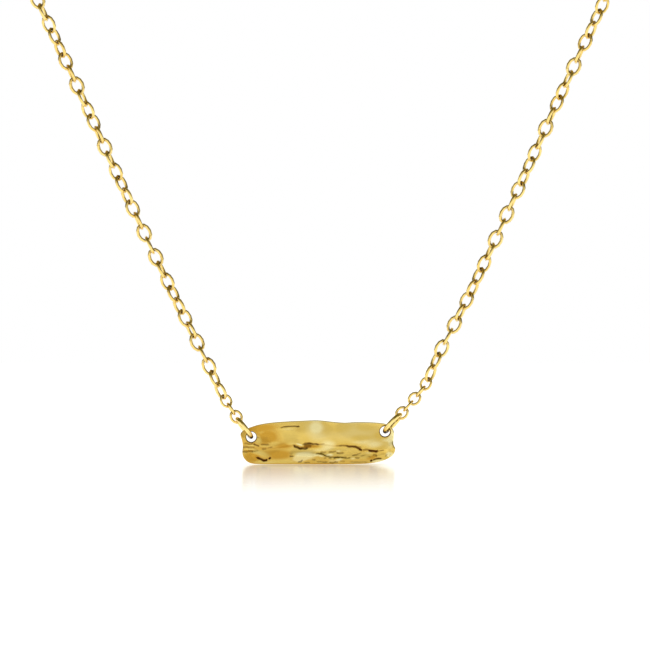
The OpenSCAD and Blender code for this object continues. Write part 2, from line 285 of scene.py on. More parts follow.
@dataclass(frozen=True)
class Gold:
    """Polished yellow gold. Each finish of the necklace is one of these.

    Attributes:
        name: The material's name.
        tone: Its colour.
        deep: The colour that its warmer patches go towards.
        patches: The noise that sets the patches.
        patch_edge: The values of that noise at which a patch starts and is full.
        patch_share: How far a full patch goes towards the deeper colour, from 0 to 1.
        shine: Roughness where it is polished best.
        wear: How much rougher it gets where it is rubbed.
        grains: The noise of its fine grain.
        grain_height: The grain's height, in millimetres.
        coat: Weight of the clear gloss over it.
        coat_roughness: Roughness of that gloss.
    """

    name: str
    tone: Row = (0.98, 0.75, 0.27)
    deep: Row = (0.9, 0.62, 0.15)
    patches: Noise = Noise(240.0, 3.0, 0.5)
    patch_edge: Row = (0.35, 0.7)
    patch_share: float = 0.6
    shine: float = 0.1
    wear: float = 0.12
    grains: Noise = Noise(5200.0, 3.0, 0.6)
    grain_height: float = 0.0015
    coat: float = 0.3
    coat_roughness: float = 0.06

    def material(self) -> bpy.types.Material:
        """Makes the material, with its patterns set in the part's own space.

        Returns:
            The material.
        """
        made = bpy.data.materials.new(self.name)
        made.use_nodes = True
        tree = Tree(made.node_tree)
        place = tree.place()
        patch = self.patches.at(place).smooth(*self.patch_edge)
        grain = self.grains.at(place)
        surface = tree.wire("ShaderNodeBsdfPrincipled", inputs={
            "Base Color": self.colour(tree, patch),
            "Roughness": self.roughness(tree, patch, grain),
            "Metallic": 1.0,
            "Coat Weight": self.gloss(tree),
            "Coat Roughness": self.coat_roughness,
            "Normal": tree.wire("ShaderNodeBump", inputs={
                "Height": self.height(place, grain), "Distance": MM}),
        })
        tree.add("ShaderNodeOutputMaterial", inputs={"Surface": surface})
        return made

    def colour(self, tree: Tree, patch: Wire) -> Wire:
        """The colour over the surface."""
        return tree.mix(self.tone, self.deep, patch * self.patch_share)

    def roughness(self, tree: Tree, patch: Wire, grain: Wire) -> Wire:
        """The roughness over the surface, more in the patches and in the grain."""
        return self.shine + (patch + grain) * (self.wear / 2)

    def gloss(self, tree: Tree) -> Wire | float:
        """The weight of the clear gloss over the surface."""
        return self.coat

    def height(self, place: Wire, grain: Wire) -> Wire:
        """The height of the fine relief, in millimetres."""
        return grain * self.grain_height


@dataclass(frozen=True)
class ShadePaintedGold(Gold):
    """Gold with shade painted on it, dark where its mesh's attribute says that shade falls.

    Attributes:
        painted_shade_colour: The colour of its painted shade, where that is darkest.
        painted_shade_roughness: How much rougher it is there.
    """

    painted_shade_colour: Row = (0.1, 0.028, 0.003)
    painted_shade_roughness: float = 0.3

    def colour(self, tree: Tree, patch: Wire) -> Wire:
        """The colour over the surface, with shade painted where the mesh's attribute says."""
        # Painted shade: darkens the colour where the mesh's attribute says.
        return tree.mix(super().colour(tree, patch), self.painted_shade_colour, tree.attribute("crease"))

    def roughness(self, tree: Tree, patch: Wire, grain: Wire) -> Wire:
        """The roughness over the surface, more where shade is painted."""
        polished = super().roughness(tree, patch, grain)
        return polished + tree.attribute("crease") * self.painted_shade_roughness

    def gloss(self, tree: Tree) -> Wire:
        """The weight of the gloss, which is taken away where shade is painted."""
        return (1.0 - tree.attribute("crease")) * self.coat


@dataclass(frozen=True)
class HammeredGold(ShadePaintedGold):
    """The bar's gold, with fine ripples, and with highlights and shade painted on it.

    An attribute of the mesh says where: above 0 a painted highlight makes the gold paler, and
    below 0 painted shade makes it warmer.

    Attributes:
        painted_highlight_colour: The colour of the painted highlights, where they are palest.
        painted_warm_shade_colour: The colour of the painted warm shade, where it is warmest.
        ripples: The noise of the ripples that the hammer left.
        ripple_height: Their height, in millimetres.
        ripple_pace: How fast they follow each other along the bar, beside up it.
    """

    tone: Row = (0.78, 0.565, 0.135)
    deep: Row = (0.73, 0.49, 0.085)
    painted_highlight_colour: Row = (0.93, 0.81, 0.39)
    painted_warm_shade_colour: Row = (0.58, 0.32, 0.032)
    ripples: Noise = Noise(900.0, 3.0, 0.55)
    ripple_height: float = 0.006
    ripple_pace: float = 0.45

    def colour(self, tree: Tree, patch: Wire) -> Wire:
        """The colour over the surface, with painted highlights, painted warm shade and painted dark
        shade.

        Args:
            tree: The material's tree.
            patch: How far a place is in a warmer patch, from 0 to 1.

        Returns:
            The colour.
        """
        # Painted light: paler for painted highlights, warmer for painted shade, then the dark
        # painted shade.
        painted_light = tree.attribute("painted_light")
        plain = Gold.colour(self, tree, patch)
        paler = tree.mix(plain, self.painted_highlight_colour, painted_light.smooth(0.0, 1.0))
        warmer = tree.mix(paler, self.painted_warm_shade_colour, painted_light.smooth(0.0, -1.0))
        return tree.mix(warmer, self.painted_shade_colour, tree.attribute("crease"))

    def height(self, place: Wire, grain: Wire) -> Wire:
        """Fine grain and shallow ripples, drawn out along the bar."""
        ripple = self.ripples.at(place * (self.ripple_pace, 1.0, 1.0))
        return grain * self.grain_height + ripple * self.ripple_height


@dataclass(frozen=True)
class FloorPatch:
    """A patch of the floor by the bar, with soft edges. Its sizes are in millimetres.

    Attributes:
        front: Where it sets in and where it is full, on the way from the camera to the bar's
            plane and past it. Places before that plane are below 0.
        back: Where it starts to fade behind and where it is gone.
        side: How far to either side it is full, and how far it reaches.
    """

    front: Row
    back: Row
    side: Row

    def share(self, place: Wire, plane: float) -> Wire:
        """How far a place is in the patch.

        Args:
            place: The place, in metres.
            plane: The Y of the bar's plane, in millimetres.

        Returns:
            The share, from 0 outside the patch to 1 inside it.
        """
        x, y, _ = place.parts()
        setting_in, full = ((plane + part) * MM for part in self.front)
        fading, gone = ((plane + part) * MM for part in self.back)
        inner, outer = ((part * MM) ** 2 for part in self.side)
        return y.smooth(setting_in, full) * y.smooth(gone, fading) * (x * x).smooth(outer, inner)


@dataclass(frozen=True)
class Paper:
    """The studio's glossy white floor, in which the bar is faintly mirrored.

    Attributes:
        name: The material's name.
        white: Its lightness.
        roughness: Its roughness.
        glow: Light that it gives, which keeps it white under the bar.
        mirror: Share of its mirror gloss next to the bar.
        mirror_roughness: Roughness of that gloss.
        mirror_index: The gloss's refractive index, by which it grows at a flat angle.
        mirrored: Where the floor mirrors. The image fades towards the camera.
        warmth: The mirror image's tint.
        shade: The light of the shade next to the bar.
        shade_share: How much of the shade there is, from 0 to 1.
        shaded: Where the shade lies.
    """

    name: str = "glossy_paper"
    white: float = 0.2
    roughness: float = 0.6
    glow: float = 1.12
    mirror: float = 0.88
    mirror_roughness: float = 0.12
    mirror_index: float = 1.5
    mirrored: FloorPatch = FloorPatch((-170.0, 10.0), (8.0, 16.0), (12.8, 25.6))
    warmth: Row = (1.0, 0.965, 0.86)
    shade: Row = (0.55, 0.4, 0.16)
    shade_share: float = 0.5
    shaded: FloorPatch = FloorPatch((-14.0, -1.0), (3.0, 6.0), (6.4, 9.6))

    def material(self, plane: float) -> bpy.types.Material:
        """Makes the material.

        Args:
            plane: The Y of the bar's plane, in millimetres.

        Returns:
            The material.
        """
        made = bpy.data.materials.new(self.name)
        made.use_nodes = True
        tree = Tree(made.node_tree)
        plain = self._matt(tree, (self.white,) * 3, self.roughness, WHITE, self.glow)
        gloss = tree.wire("ShaderNodeBsdfAnisotropic", inputs={
            "Color": self.warmth, "Roughness": self.mirror_roughness})
        shaded = self._matt(tree, BLACK, 1.0, self.shade, 1.0)
        place = tree.place()
        grazing = tree.wire("ShaderNodeFresnel", inputs={"IOR": self.mirror_index})
        mirroring = tree.wire("ShaderNodeMixShader", inputs={
            0: self.mirrored.share(place, plane) * grazing * self.mirror, 1: plain, 2: gloss})
        surface = tree.wire("ShaderNodeMixShader", inputs={
            0: self.shaded.share(place, plane) * self.shade_share, 1: mirroring, 2: shaded})
        tree.add("ShaderNodeOutputMaterial", inputs={"Surface": surface})
        return made

    def _matt(self, tree: Tree, colour: Row, roughness: float, light: Row,
              strength: float) -> Wire:
        """A matt surface that gives off light.

        Args:
            tree: The material's tree.
            colour: The surface's colour.
            roughness: Its roughness.
            light: The colour of its light.
            strength: The strength of its light.

        Returns:
            The surface.
        """
        return tree.wire("ShaderNodeBsdfPrincipled", inputs={
            "Base Color": colour, "Roughness": roughness, "Emission Color": light,
            "Emission Strength": strength, "Specular IOR Level": 0.0})


# Shapes


def mix(first: Any, second: Any, share: Any) -> Any:
    """The value a share of the way from the first to the second."""
    return first + (second - first) * share


def ramp(share: Any) -> Any:
    """Rises smoothly from 0 to 1 as the share does."""
    share = np.clip(share, 0.0, 1.0)
    return share * share * (3.0 - 2.0 * share)


def hump(share: Any) -> Any:
    """Falls smoothly from 1 in the middle to 0 where the share is 1."""
    return np.where(np.abs(share) >= 1.0, 0.0, (1.0 - share * share) ** 2)


def unit(vector: np.ndarray) -> np.ndarray:
    """The vector at a length of 1."""
    return vector / np.linalg.norm(vector)


def smooth_read(rows: Table, at: Any, key: int, value: int) -> np.ndarray:
    """Reads a table at places in one column, smoothly, and returns another column.

    Args:
        rows: The table, with its key column rising.
        at: The places.
        key: Which column the places are in.
        value: Which column to return.

    Returns:
        The values at the places.
    """
    table = np.array(rows, float)
    keys, values = table[:, key], table[:, value]
    last = len(keys) - 1
    after = np.minimum(np.arange(last + 1) + 1, last)
    before = np.maximum(np.arange(last + 1) - 1, 0)
    slopes = (values[after] - values[before]) / (keys[after] - keys[before])
    at = np.asarray(at, float)
    i = np.clip(np.searchsorted(keys, at, side="right") - 1, 0, last - 1)
    span = keys[i + 1] - keys[i]
    t = (at - keys[i]) / span
    start, end = slopes[i] * span, slopes[i + 1] * span
    return mix(values[i], values[i + 1], ramp(t)) + start * t * (1 - t) ** 2 - end * t * t * (1 - t)


@dataclass(frozen=True)
class Sizes:
    """The necklace's sizes in millimetres, with the names that its construction gives them."""

    bar_length: float = 20.0
    bar_height: float = 5.7
    bar_thickness: float = 1.0
    relief_height: float = 0.25
    hole_diameter: float = 1.35
    ring_diameter: float = 3.5
    ring_wire: float = 0.55
    link_length: float = 2.62
    link_width: float = 1.95
    link_wire: float = 0.38
    small_length: float = 1.98
    small_width: float = 1.7
    small_wire: float = 0.32
    link_clearance: float = 0.11
    neck_width: float = 104.0
    neck_depth: float = 88.0
    neck_drop: float = 91.0
    shoulder_depth: float = 16.0
    clasp_diameter: float = 5.5
    clasp_wire: float = 1.0
    eye_diameter: float = 2.2
    eye_wire: float = 0.45
    trigger_length: float = 0.9
    trigger_wire: float = 0.7
    trigger_place: float = 60.0
    end_ring_diameter: float = 3.2
    end_ring_wire: float = 0.45
    clasp_clearance: float = 0.15
    solder_depth: float = 0.3

    @property
    def front_y(self) -> float:
        """The bar's plane."""
        return -self.neck_depth / 2

    @property
    def nape_y(self) -> float:
        """The nape's plane."""
        return self.neck_depth / 2

    @property
    def face(self) -> np.ndarray:
        """The bar's length and height."""
        return np.array([self.bar_length, self.bar_height])

    @property
    def bar_corner(self) -> np.ndarray:
        """The lower left corner of the box round the bar's outline."""
        return np.array([-self.bar_length / 2, self.front_y, -self.neck_drop - self.bar_height / 2])

    def hole(self, inset: float, drop: float) -> np.ndarray:
        """The middle of a hole, from the bar's left end and upper edge."""
        return self.bar_corner + [inset, 0.0, self.bar_height - drop]

    @property
    def ring_reach(self) -> float:
        """From a jump ring's middle to the inside of its wire."""
        return self.ring_diameter / 2 - self.ring_wire

    @property
    def small_reach(self) -> float:
        """From a small link's middle to the inside of its wire."""
        return self.small_length / 2 - self.small_wire

    @property
    def link_reach(self) -> float:
        """From a link's middle to the inside of its wire."""
        return self.link_length / 2 - self.link_wire

    @property
    def end_ring_reach(self) -> float:
        """From an end ring's middle to the inside of its wire."""
        return self.end_ring_diameter / 2 - self.end_ring_wire

    @property
    def eye_offset(self) -> float:
        """From the clasp's middle to its eye's."""
        return self.clasp_diameter / 2 + self.eye_diameter / 2 - self.solder_depth

    @property
    def clasp_to_ring(self) -> float:
        """From the clasp's middle to the right end ring's."""
        clasp_reach = self.clasp_diameter / 2 - self.clasp_wire
        return clasp_reach + self.end_ring_reach - self.clasp_clearance

    @property
    def clasp_row(self) -> float:
        """Between the middles of the two end rings.

        Returns:
            The distance.
        """
        eye_reach = self.eye_diameter / 2 - self.eye_wire
        to_eye = self.end_ring_reach + eye_reach - self.clasp_clearance
        return to_eye + self.eye_offset + self.clasp_to_ring


@dataclass(frozen=True)
class Loop:
    """A closed loop of wire, such as a link or a ring.

    Attributes:
        middle: The loop's middle, in millimetres.
        along: The way that its length runs.
        normal: The way that its hole looks.
        size: Its outer length, its outer width and its wire's thickness.
    """

    middle: np.ndarray
    along: np.ndarray
    normal: np.ndarray
    size: Row


@dataclass(frozen=True)
class LoopMaker:
    """Makes wire loops with Geometry Nodes, all the loops of one size in one go.

    Attributes:
        round_steps: How many steps go round a loop.
        wire_sides: How many sides the wire has.
        bend_shade: How far round the bends the painted shade starts, where the loops meet, and
            where it is darkest. 0 is at a loop's sides, and 1 at its ends.
        deepest_shade: How far in from the wire's middle the painted shade is darkest, in shares of
            its radius.
        pattern_wire: The wire's radius in the pattern ring, whose own radius is 1.
    """

    round_steps: int = 12
    wire_sides: int = 6
    bend_shade: Row = (0.6, 0.97)
    deepest_shade: float = 0.5
    pattern_wire: float = 0.25

    @property
    def fullness(self) -> float:
        """What a few-sided wire is thickened by, so that it has a round one's area."""
        turn = 2 * math.pi / self.wire_sides
        return math.sqrt(turn / math.sin(turn))

    def make(self, name: str, loops: list[Loop], gold: bpy.types.Material) -> bpy.types.Object:
        """Makes the loops as one plain mesh.

        Args:
            name: The piece's name.
            loops: Where the loops are, and their sizes.
            gold: Their material.

        Returns:
            The piece, with its place in its mesh.
        """
        pieces = []
        for size in sorted({loop.size for loop in loops}):
            alike = [loop for loop in loops if loop.size == size]
            pieces.append(self._run(name, alike, size, gold))
        return joined(name, pieces)

    def _run(self, name: str, loops: list[Loop], size: Row,
             gold: bpy.types.Material) -> bpy.types.Object:
        """Makes the loops of one size.

        Args:
            name: The piece's name.
            loops: Where the loops are.
            size: Their outer length, outer width and wire's thickness.
            gold: Their material.

        Returns:
            The loops as one piece.
        """
        holder = bpy.data.objects.new(name + "_middles", self._middles(name, loops))
        bpy.context.scene.collection.objects.link(holder)
        modifier = holder.modifiers.new("loops", "NODES")
        modifier.node_group = self._tree()
        length, width, wire = (part * MM for part in size)
        values = {"Length": length, "Width": width, "Wire": wire * self.fullness,
                  "Round steps": self.round_steps, "Wire sides": self.wire_sides, "Gold": gold}
        for item in modifier.node_group.interface.items_tree:
            if item.name in values:
                modifier[item.identifier] = values[item.name]
        bpy.context.view_layer.update()
        depsgraph = bpy.context.evaluated_depsgraph_get()
        mesh = bpy.data.meshes.new_from_object(holder.evaluated_get(depsgraph))
        bpy.data.objects.remove(holder)
        return piece_from(name, mesh)

    def _middles(self, name: str, loops: list[Loop]) -> bpy.types.Mesh:
        """Makes one point for each loop, which carries its two directions.

        Args:
            name: The piece's name.
            loops: Where the loops are.

        Returns:
            The points.
        """
        mesh = bpy.data.meshes.new(name + "_middles")
        mesh.from_pydata([tuple(loop.middle * MM) for loop in loops], [], [])
        columns = {"along": [loop.along for loop in loops],
                   "normal": [loop.normal for loop in loops]}
        for column, values in columns.items():
            attribute = mesh.attributes.new(column, "FLOAT_VECTOR", "POINT")
            attribute.data.foreach_set("vector", np.array(values, np.float32).ravel())
        return mesh

    def _tree(self) -> bpy.types.NodeTree:
        """Builds the tree: a round pattern ring, bent to the loops' size and set on each point.

        Returns:
            The tree.
        """
        group = bpy.data.node_groups.new("wire_loops", "GeometryNodeTree")
        kinds = {"Middles": "Geometry", "Length": "Float", "Width": "Float", "Wire": "Float",
                 "Round steps": "Int", "Wire sides": "Int", "Gold": "Material"}
        for name, kind in kinds.items():
            group.interface.new_socket(name, in_out="INPUT", socket_type="NodeSocket" + kind)
        group.interface.new_socket("Loops", in_out="OUTPUT", socket_type="NodeSocketGeometry")
        tree = Tree(group)
        given = tree.add("NodeGroupInput")
        middles, length, width, wire, steps, sides, gold = (
            Wire(tree, socket) for socket in given.outputs[:len(kinds)])
        ring = tree.wire("GeometryNodeCurvePrimitiveCircle", inputs={
            "Resolution": steps, "Radius": 1.0})
        section = tree.wire("GeometryNodeCurvePrimitiveCircle", inputs={
            "Resolution": sides, "Radius": self.pattern_wire})
        pattern = tree.wire("GeometryNodeCurveToMesh", inputs={0: ring, 1: section})
        # Shade painted inside the bends, where the loops meet.
        shaded_pattern = tree.wire("GeometryNodeStoreNamedAttribute", {"data_type": "FLOAT"}, {
            "Geometry": pattern, "Name": "crease", "Value": self._bend_shade(tree)})
        bent = tree.wire("GeometryNodeSetPosition", inputs={
            "Geometry": shaded_pattern, "Position": self._bend(tree, length, width, wire)})
        smooth = tree.wire("GeometryNodeSetShadeSmooth", inputs={"Geometry": bent})
        turn = tree.wire(
            "FunctionNodeAxesToRotation", {"primary_axis": "Z", "secondary_axis": "X"},
            {"Primary Axis": self._named(tree, "normal"),
             "Secondary Axis": self._named(tree, "along")})
        placed = tree.wire("GeometryNodeInstanceOnPoints", inputs={
            "Points": middles, "Instance": smooth, "Rotation": turn})
        whole = tree.wire("GeometryNodeRealizeInstances", inputs={"Geometry": placed})
        dressed = tree.wire("GeometryNodeSetMaterial", inputs={
            "Geometry": whole, "Material": gold})
        tree.add("NodeGroupOutput", inputs={0: dressed})
        return group

    def _named(self, tree: Tree, name: str) -> Wire:
        """A vector that the points carry under a name."""
        return tree.wire("GeometryNodeInputNamedAttribute", {"data_type": "FLOAT_VECTOR"},
                         {"Name": name})

    def _bend_shade(self, tree: Tree) -> Wire:
        """How dark the shade painted at a point of the pattern ring is: most inside the bends,
        where the loops meet.

        Args:
            tree: The tree.

        Returns:
            The darkness, from 0 to 1.
        """
        x, y, _ = tree.wire("GeometryNodeInputPosition").parts()
        radius = (x * x + y * y) ** 0.5
        at_bend = (x * x / (radius * radius)).smooth(*self.bend_shade)
        inside = radius.smooth(1.0 + self.pattern_wire,
                               1.0 - self.pattern_wire * self.deepest_shade)
        return at_bend * inside

    def _bend(self, tree: Tree, length: Wire, width: Wire, wire: Wire) -> Wire:
        """Where a point of the pattern ring goes on an oval loop.

        Args:
            tree: The tree.
            length: The loop's outer length.
            width: Its outer width.
            wire: Its wire's thickness.

        Returns:
            The place.
        """
        x, y, z = tree.wire("GeometryNodeInputPosition").parts()
        radius = (x * x + y * y) ** 0.5
        way_x, way_y = x / radius, y / radius
        half_length, half_width = (length - wire) / 2.0, (width - wire) / 2.0
        out_x, out_y = half_width * way_x, half_length * way_y
        scale = wire / (2.0 * self.pattern_wire)
        out = (radius - 1.0) * scale / (out_x * out_x + out_y * out_y) ** 0.5
        return tree.joined(half_length * way_x + out * out_x, half_width * way_y + out * out_y,
                           z * scale)


def piece_from(name: str, mesh: bpy.types.Mesh) -> bpy.types.Object:
    """Puts a mesh into the scene as a piece, with its faces turned outwards.

    Args:
        name: The piece's name.
        mesh: The mesh.

    Returns:
        The piece.
    """
    shell = bmesh.new()
    shell.from_mesh(mesh)
    bmesh.ops.recalc_face_normals(shell, faces=shell.faces)
    shell.to_mesh(mesh)
    shell.free()
    mesh.name = name
    made = bpy.data.objects.new(name, mesh)
    bpy.context.scene.collection.objects.link(made)
    LOG.info("%s: %d faces", name, len(mesh.polygons))
    return made


def joined(name: str, pieces: list[bpy.types.Object]) -> bpy.types.Object:
    """Joins pieces into one, under a name.

    Args:
        name: The name.
        pieces: The pieces.

    Returns:
        The whole piece.
    """
    first, *others = pieces
    if others:
        with bpy.context.temp_override(active_object=first, selected_editable_objects=pieces):
            bpy.ops.object.join()
    first.name = name
    return first


def dress(piece: bpy.types.Object, body: Body, slot: str, *nodes: str) -> None:
    """Lets a piece ride on its body and stand for its nodes.

    Args:
        piece: The piece.
        body: The body that it rides on.
        slot: Its slot among the construction's materials. Not used.
        nodes: The construction's nodes that it stands for.
    """
    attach(piece, body.value)
    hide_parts(*nodes)
    LOG.info("%s rides on %s for %s", piece.name, body.value, ", ".join(nodes))


# The chain


@dataclass(frozen=True)
class Arm:
    """One half of the chain, from its jump ring on the bar to its end ring at the nape.

    Attributes:
        side: Which half it is.
        sizes: The necklace's sizes.
        inset: From the bar's left end to the middle of the hole.
        drop: From the bar's upper edge down to the middle of the hole.
        lean: The jump ring's lean from upright, in degrees.
        turn: The jump ring's turn about the line of pull, in degrees.
        small_links: How many small links are next to the bar.
        points: The route's chosen points. Rows are (across, up, back), in shares.
        link_turns: How far the next link is turned from a link. Rows are (link, degrees), each
            holds up to the next row, and the first full link is 0.
        first_turn: The first link's turn about the chain, in degrees.
        evened_from: From this link on all turns are alike, so that the last link lies flat.
        neck_step: Degrees between the route's points round the neck.
        route_steps: How many steps the route takes between two of its points.
        hole_shade_reach: How far the shade painted on the jump ring in the bar's hole reaches, in
            millimetres.
        hole_shade_fade: The last stretch of that, over which it fades out.
        hole_shade_behind: How far its middle is behind the hole's middle.
        hole_shade_below: How far down from there its middle is, along the line of pull.
    """

    side: Side
    sizes: Sizes
    inset: float
    drop: float
    lean: float
    turn: float
    small_links: int
    points: Table
    link_turns: Table = ((-9, -90), (-3, -96), (-2, -105), (0, -113), (1, -99), (2, -109),
                         (4, -95), (6, -102), (11, -90), (13, -103), (20, -108), (25, -103))
    first_turn: float = -2.0
    evened_from: int = 25
    neck_step: int = 15
    route_steps: int = 8
    hole_shade_reach: float = 1.15
    hole_shade_fade: float = 0.35
    hole_shade_behind: float = 0.3
    hole_shade_below: float = 0.45

    @property
    def pull(self) -> np.ndarray:
        """The way that the chain pulls the jump ring."""
        lean = math.radians(self.lean)
        return np.array([self.side.value * math.sin(lean), 0.0, math.cos(lean)])

    @property
    def hole_middle(self) -> np.ndarray:
        """The middle of the bar's hole."""
        return self.sizes.hole(self.inset, self.drop)

    @property
    def ring_middle(self) -> np.ndarray:
        """The middle of the jump ring."""
        radius = (self.sizes.ring_diameter - self.sizes.ring_wire) / 2
        return self.hole_middle + radius * self.pull

    @property
    def end_middle(self) -> np.ndarray:
        """The middle of the end ring."""
        return np.array([self.side.value * self.sizes.clasp_row / 2, self.sizes.nape_y, 0.0])

    def jump_ring(self) -> Loop:
        """The round ring that goes through the bar's hole.

        Returns:
            The ring.
        """
        turn = math.radians(self.turn)
        flat = np.cross(TO_NAPE, self.pull)
        normal = (flat * math.cos(turn)
                  - self.side.value * math.sin(turn) * np.cross(self.pull, flat))
        size = self.sizes.ring_diameter
        return Loop(self.ring_middle, self.pull, normal, (size, size, self.sizes.ring_wire))

    def paint_shade_in_hole(self, mesh: bpy.types.Mesh) -> None:
        """Paints shade on a jump ring where it goes into the bar's hole.

        Args:
            mesh: The jump ring's mesh, which has the attribute for its painted shade.
        """
        places = np.empty(len(mesh.vertices) * 3)
        mesh.vertices.foreach_get("co", places)
        # Painted shade round a middle just behind and below the hole's middle.
        middle = self.hole_middle + self.hole_shade_behind * TO_NAPE - self.hole_shade_below * self.pull
        away = np.linalg.norm(places.reshape(-1, 3) / MM - middle, axis=1)
        dark = mesh.attributes["crease"]
        dark.data.foreach_set("value", ramp((self.hole_shade_reach - away) / self.hole_shade_fade))

    def end_ring(self) -> Loop:
        """The ring that closes this half of the chain, which lies flat."""
        size = self.sizes.end_ring_diameter
        return Loop(self.end_middle, TO_RIGHT, UP, (size, size, self.sizes.end_ring_wire))

    def _route_points(self) -> np.ndarray:
        """The points that the chain's middle line goes through.

        Returns:
            The points, from the jump ring's middle to the end ring's.
        """
        start, end = self.ring_middle, self.end_middle
        side_x = self.side.value * self.sizes.neck_width / 2
        side_y = self.sizes.front_y + self.sizes.shoulder_depth
        rows = [start]
        for across, up, back in self.points:
            rows.append([mix(start[0], side_x, across), mix(self.sizes.front_y, side_y, back),
                         mix(start[2], 0.0, up)])
        for degrees in range(self.neck_step, QUARTER_TURN, self.neck_step):
            angle = math.radians(degrees)
            rows.append([mix(end[0], side_x, math.cos(angle)),
                         mix(side_y, self.sizes.nape_y, math.sin(angle)), 0.0])
        rows.append(end)
        return np.array(rows, float)

    def _tangents(self, points: np.ndarray) -> np.ndarray:
        """The route's direction at each of its points.

        Args:
            points: The route's points.

        Returns:
            The directions, which start along the pull and end level.
        """
        steps = np.diff(points, axis=0)
        lengths = np.linalg.norm(steps, axis=1)[:, None]
        before, after, a, b = steps[:-1], steps[1:], lengths[:-1], lengths[1:]
        inner = (before * b / a + after * a / b) / (a + b)
        return np.vstack([self.pull, inner, -self.side.value * TO_RIGHT])

    def route(self) -> np.ndarray:
        """The chain's middle line.

        Returns:
            Close points on it, in millimetres.
        """
        points = self._route_points()
        ways = self._tangents(points)
        line = []
        for i in range(len(points) - 1):
            span = np.linalg.norm(points[i + 1] - points[i])
            for k in range(self.route_steps):
                t = k / self.route_steps
                line.append(mix(points[i], points[i + 1], ramp(t))
                            + ways[i] * span * t * (1 - t) ** 2
                            - ways[i + 1] * span * t * t * (1 - t))
        return np.array(line + [points[-1]])

    def _turn_after(self, link: int) -> float:
        """How far the link after this one is turned from it, in degrees."""
        return [turn for first, turn in self.link_turns if link >= first][-1]

    def _turned(self, to: int) -> float:
        """How far a link is turned from the first one in all, in degrees."""
        return sum(self._turn_after(link) for link in range(-self.small_links, to))

    def _turn(self, link: int, full: int, last_turn: float) -> float:
        """A link's turn about the chain, evened out so that the last one lies flat.

        A link looks the same after half a turn, so half turns are added until the even turns
        are nearest to the usual one.

        Args:
            link: The link, counted from the first full one.
            full: How many full links there are.
            last_turn: The turn at which the last link lies flat.

        Returns:
            The turn in degrees.
        """
        left = full - 1 - self.evened_from
        usual = self.link_turns[-1][1]
        to_go = last_turn - self.first_turn - self._turned(self.evened_from)
        evened = (to_go + HALF_TURN * round((usual * left - to_go) / HALF_TURN)) / left
        return (self.first_turn + self._turned(min(link, self.evened_from))
                + max(0, link - self.evened_from) * evened)

    def _spans(self, line: np.ndarray) -> np.ndarray:
        """Shares the middle line out among the links, with even spaces between them.

        Args:
            line: The chain's middle line, as close points.

        Returns:
            Where the inside of each link's wire starts and ends, in millimetres.
        """
        sizes, small = self.sizes, self.small_links
        running = np.concatenate([[0.0], np.cumsum(np.linalg.norm(np.diff(line, axis=0), axis=1))])
        held = (sizes.ring_reach + sizes.end_ring_reach + 2 * small * sizes.small_reach
                - (small + 1) * sizes.link_clearance)
        full = math.ceil((running[-1] - held) / (2 * sizes.link_reach - sizes.link_clearance))
        reaches = [sizes.small_reach] * small + [sizes.link_reach] * full
        space = ((sizes.ring_reach + sizes.end_ring_reach + 2 * sum(reaches) - running[-1])
                 / (small + full + 1))
        middles = [sizes.ring_reach + reaches[0] - space]
        for before, after in zip(reaches, reaches[1:]):
            middles.append(middles[-1] - space + before + after)
        at = np.array([(m - r, m + r) for m, r in zip(middles, reaches)])
        return np.stack([np.interp(at, running, line[:, axis]) for axis in range(3)], axis=-1)

    def _flat_normals(self, ways: list[np.ndarray]) -> list[np.ndarray]:
        """The ways that the links' holes would look if no link were turned.

        Args:
            ways: The direction of each link.

        Returns:
            The ways, which start to the front and are led on without a twist.
        """
        normals = []
        normal = -TO_NAPE
        for way in ways:
            normal = unit(normal - (normal @ way) * way)
            normals.append(normal)
        return normals

    def links(self) -> list[Loop]:
        """Every link of this half.

        Returns:
            The links, from the bar to the nape.
        """
        sizes, small = self.sizes, self.small_links
        ends = self._spans(self.route())
        ways = [unit(b - a) for a, b in ends]
        normals = self._flat_normals(ways)
        last_turn = self.side.value * math.degrees(math.atan2(
            TO_NAPE @ np.cross(ways[-1], normals[-1]), TO_NAPE @ normals[-1]))
        full = len(ways) - small
        loops = []
        for i, ((a, b), way, flat) in enumerate(zip(ends, ways, normals)):
            turn = math.radians(self.side.value * self._turn(i - small, full, last_turn))
            normal = flat * math.cos(turn) + np.cross(way, flat) * math.sin(turn)
            size = ((sizes.small_length, sizes.small_width, sizes.small_wire) if i < small
                    else (sizes.link_length, sizes.link_width, sizes.link_wire))
            loops.append(Loop((a + b) / 2, way, normal, size))
        return loops


@dataclass(frozen=True)
class Chain:
    """The two halves of the chain, with the rings at their ends.

    Attributes:
        arms: The two halves.
        gold: The links' finish.
        ring_gold: The rings' finish.
        link_maker: What makes the links.
        ring_maker: What makes the rings, which are seen larger and are rounder.
    """

    arms: tuple[Arm, Arm]
    gold: Gold
    ring_gold: Gold
    link_maker: LoopMaker = LoopMaker()
    ring_maker: LoopMaker = LoopMaker(round_steps=72, wire_sides=20)

    def build(self) -> None:
        """Makes each half's links and rings, and lets them ride on the necklace's body."""
        gold, ring_gold = self.gold.material(), self.ring_gold.material()
        for arm in self.arms:
            word = arm.side.name.lower()
            links = self.link_maker.make(f"links_{word}", arm.links(), gold)
            dress(links, Body.NECKLACE, "chain_gold", f"chain_{word}")
            jump = self.ring_maker.make(f"ring_on_bar_{word}", [arm.jump_ring()], ring_gold)
            # Paints shade on the jump ring where it goes into the bar's hole.
            arm.paint_shade_in_hole(jump.data)
            dress(jump, Body.NECKLACE, "ring_gold", f"jump_ring_{word}")
            end = self.ring_maker.make(f"ring_at_nape_{word}", [arm.end_ring()], ring_gold)
            dress(end, Body.NECKLACE, "ring_gold", f"end_ring_{word}")


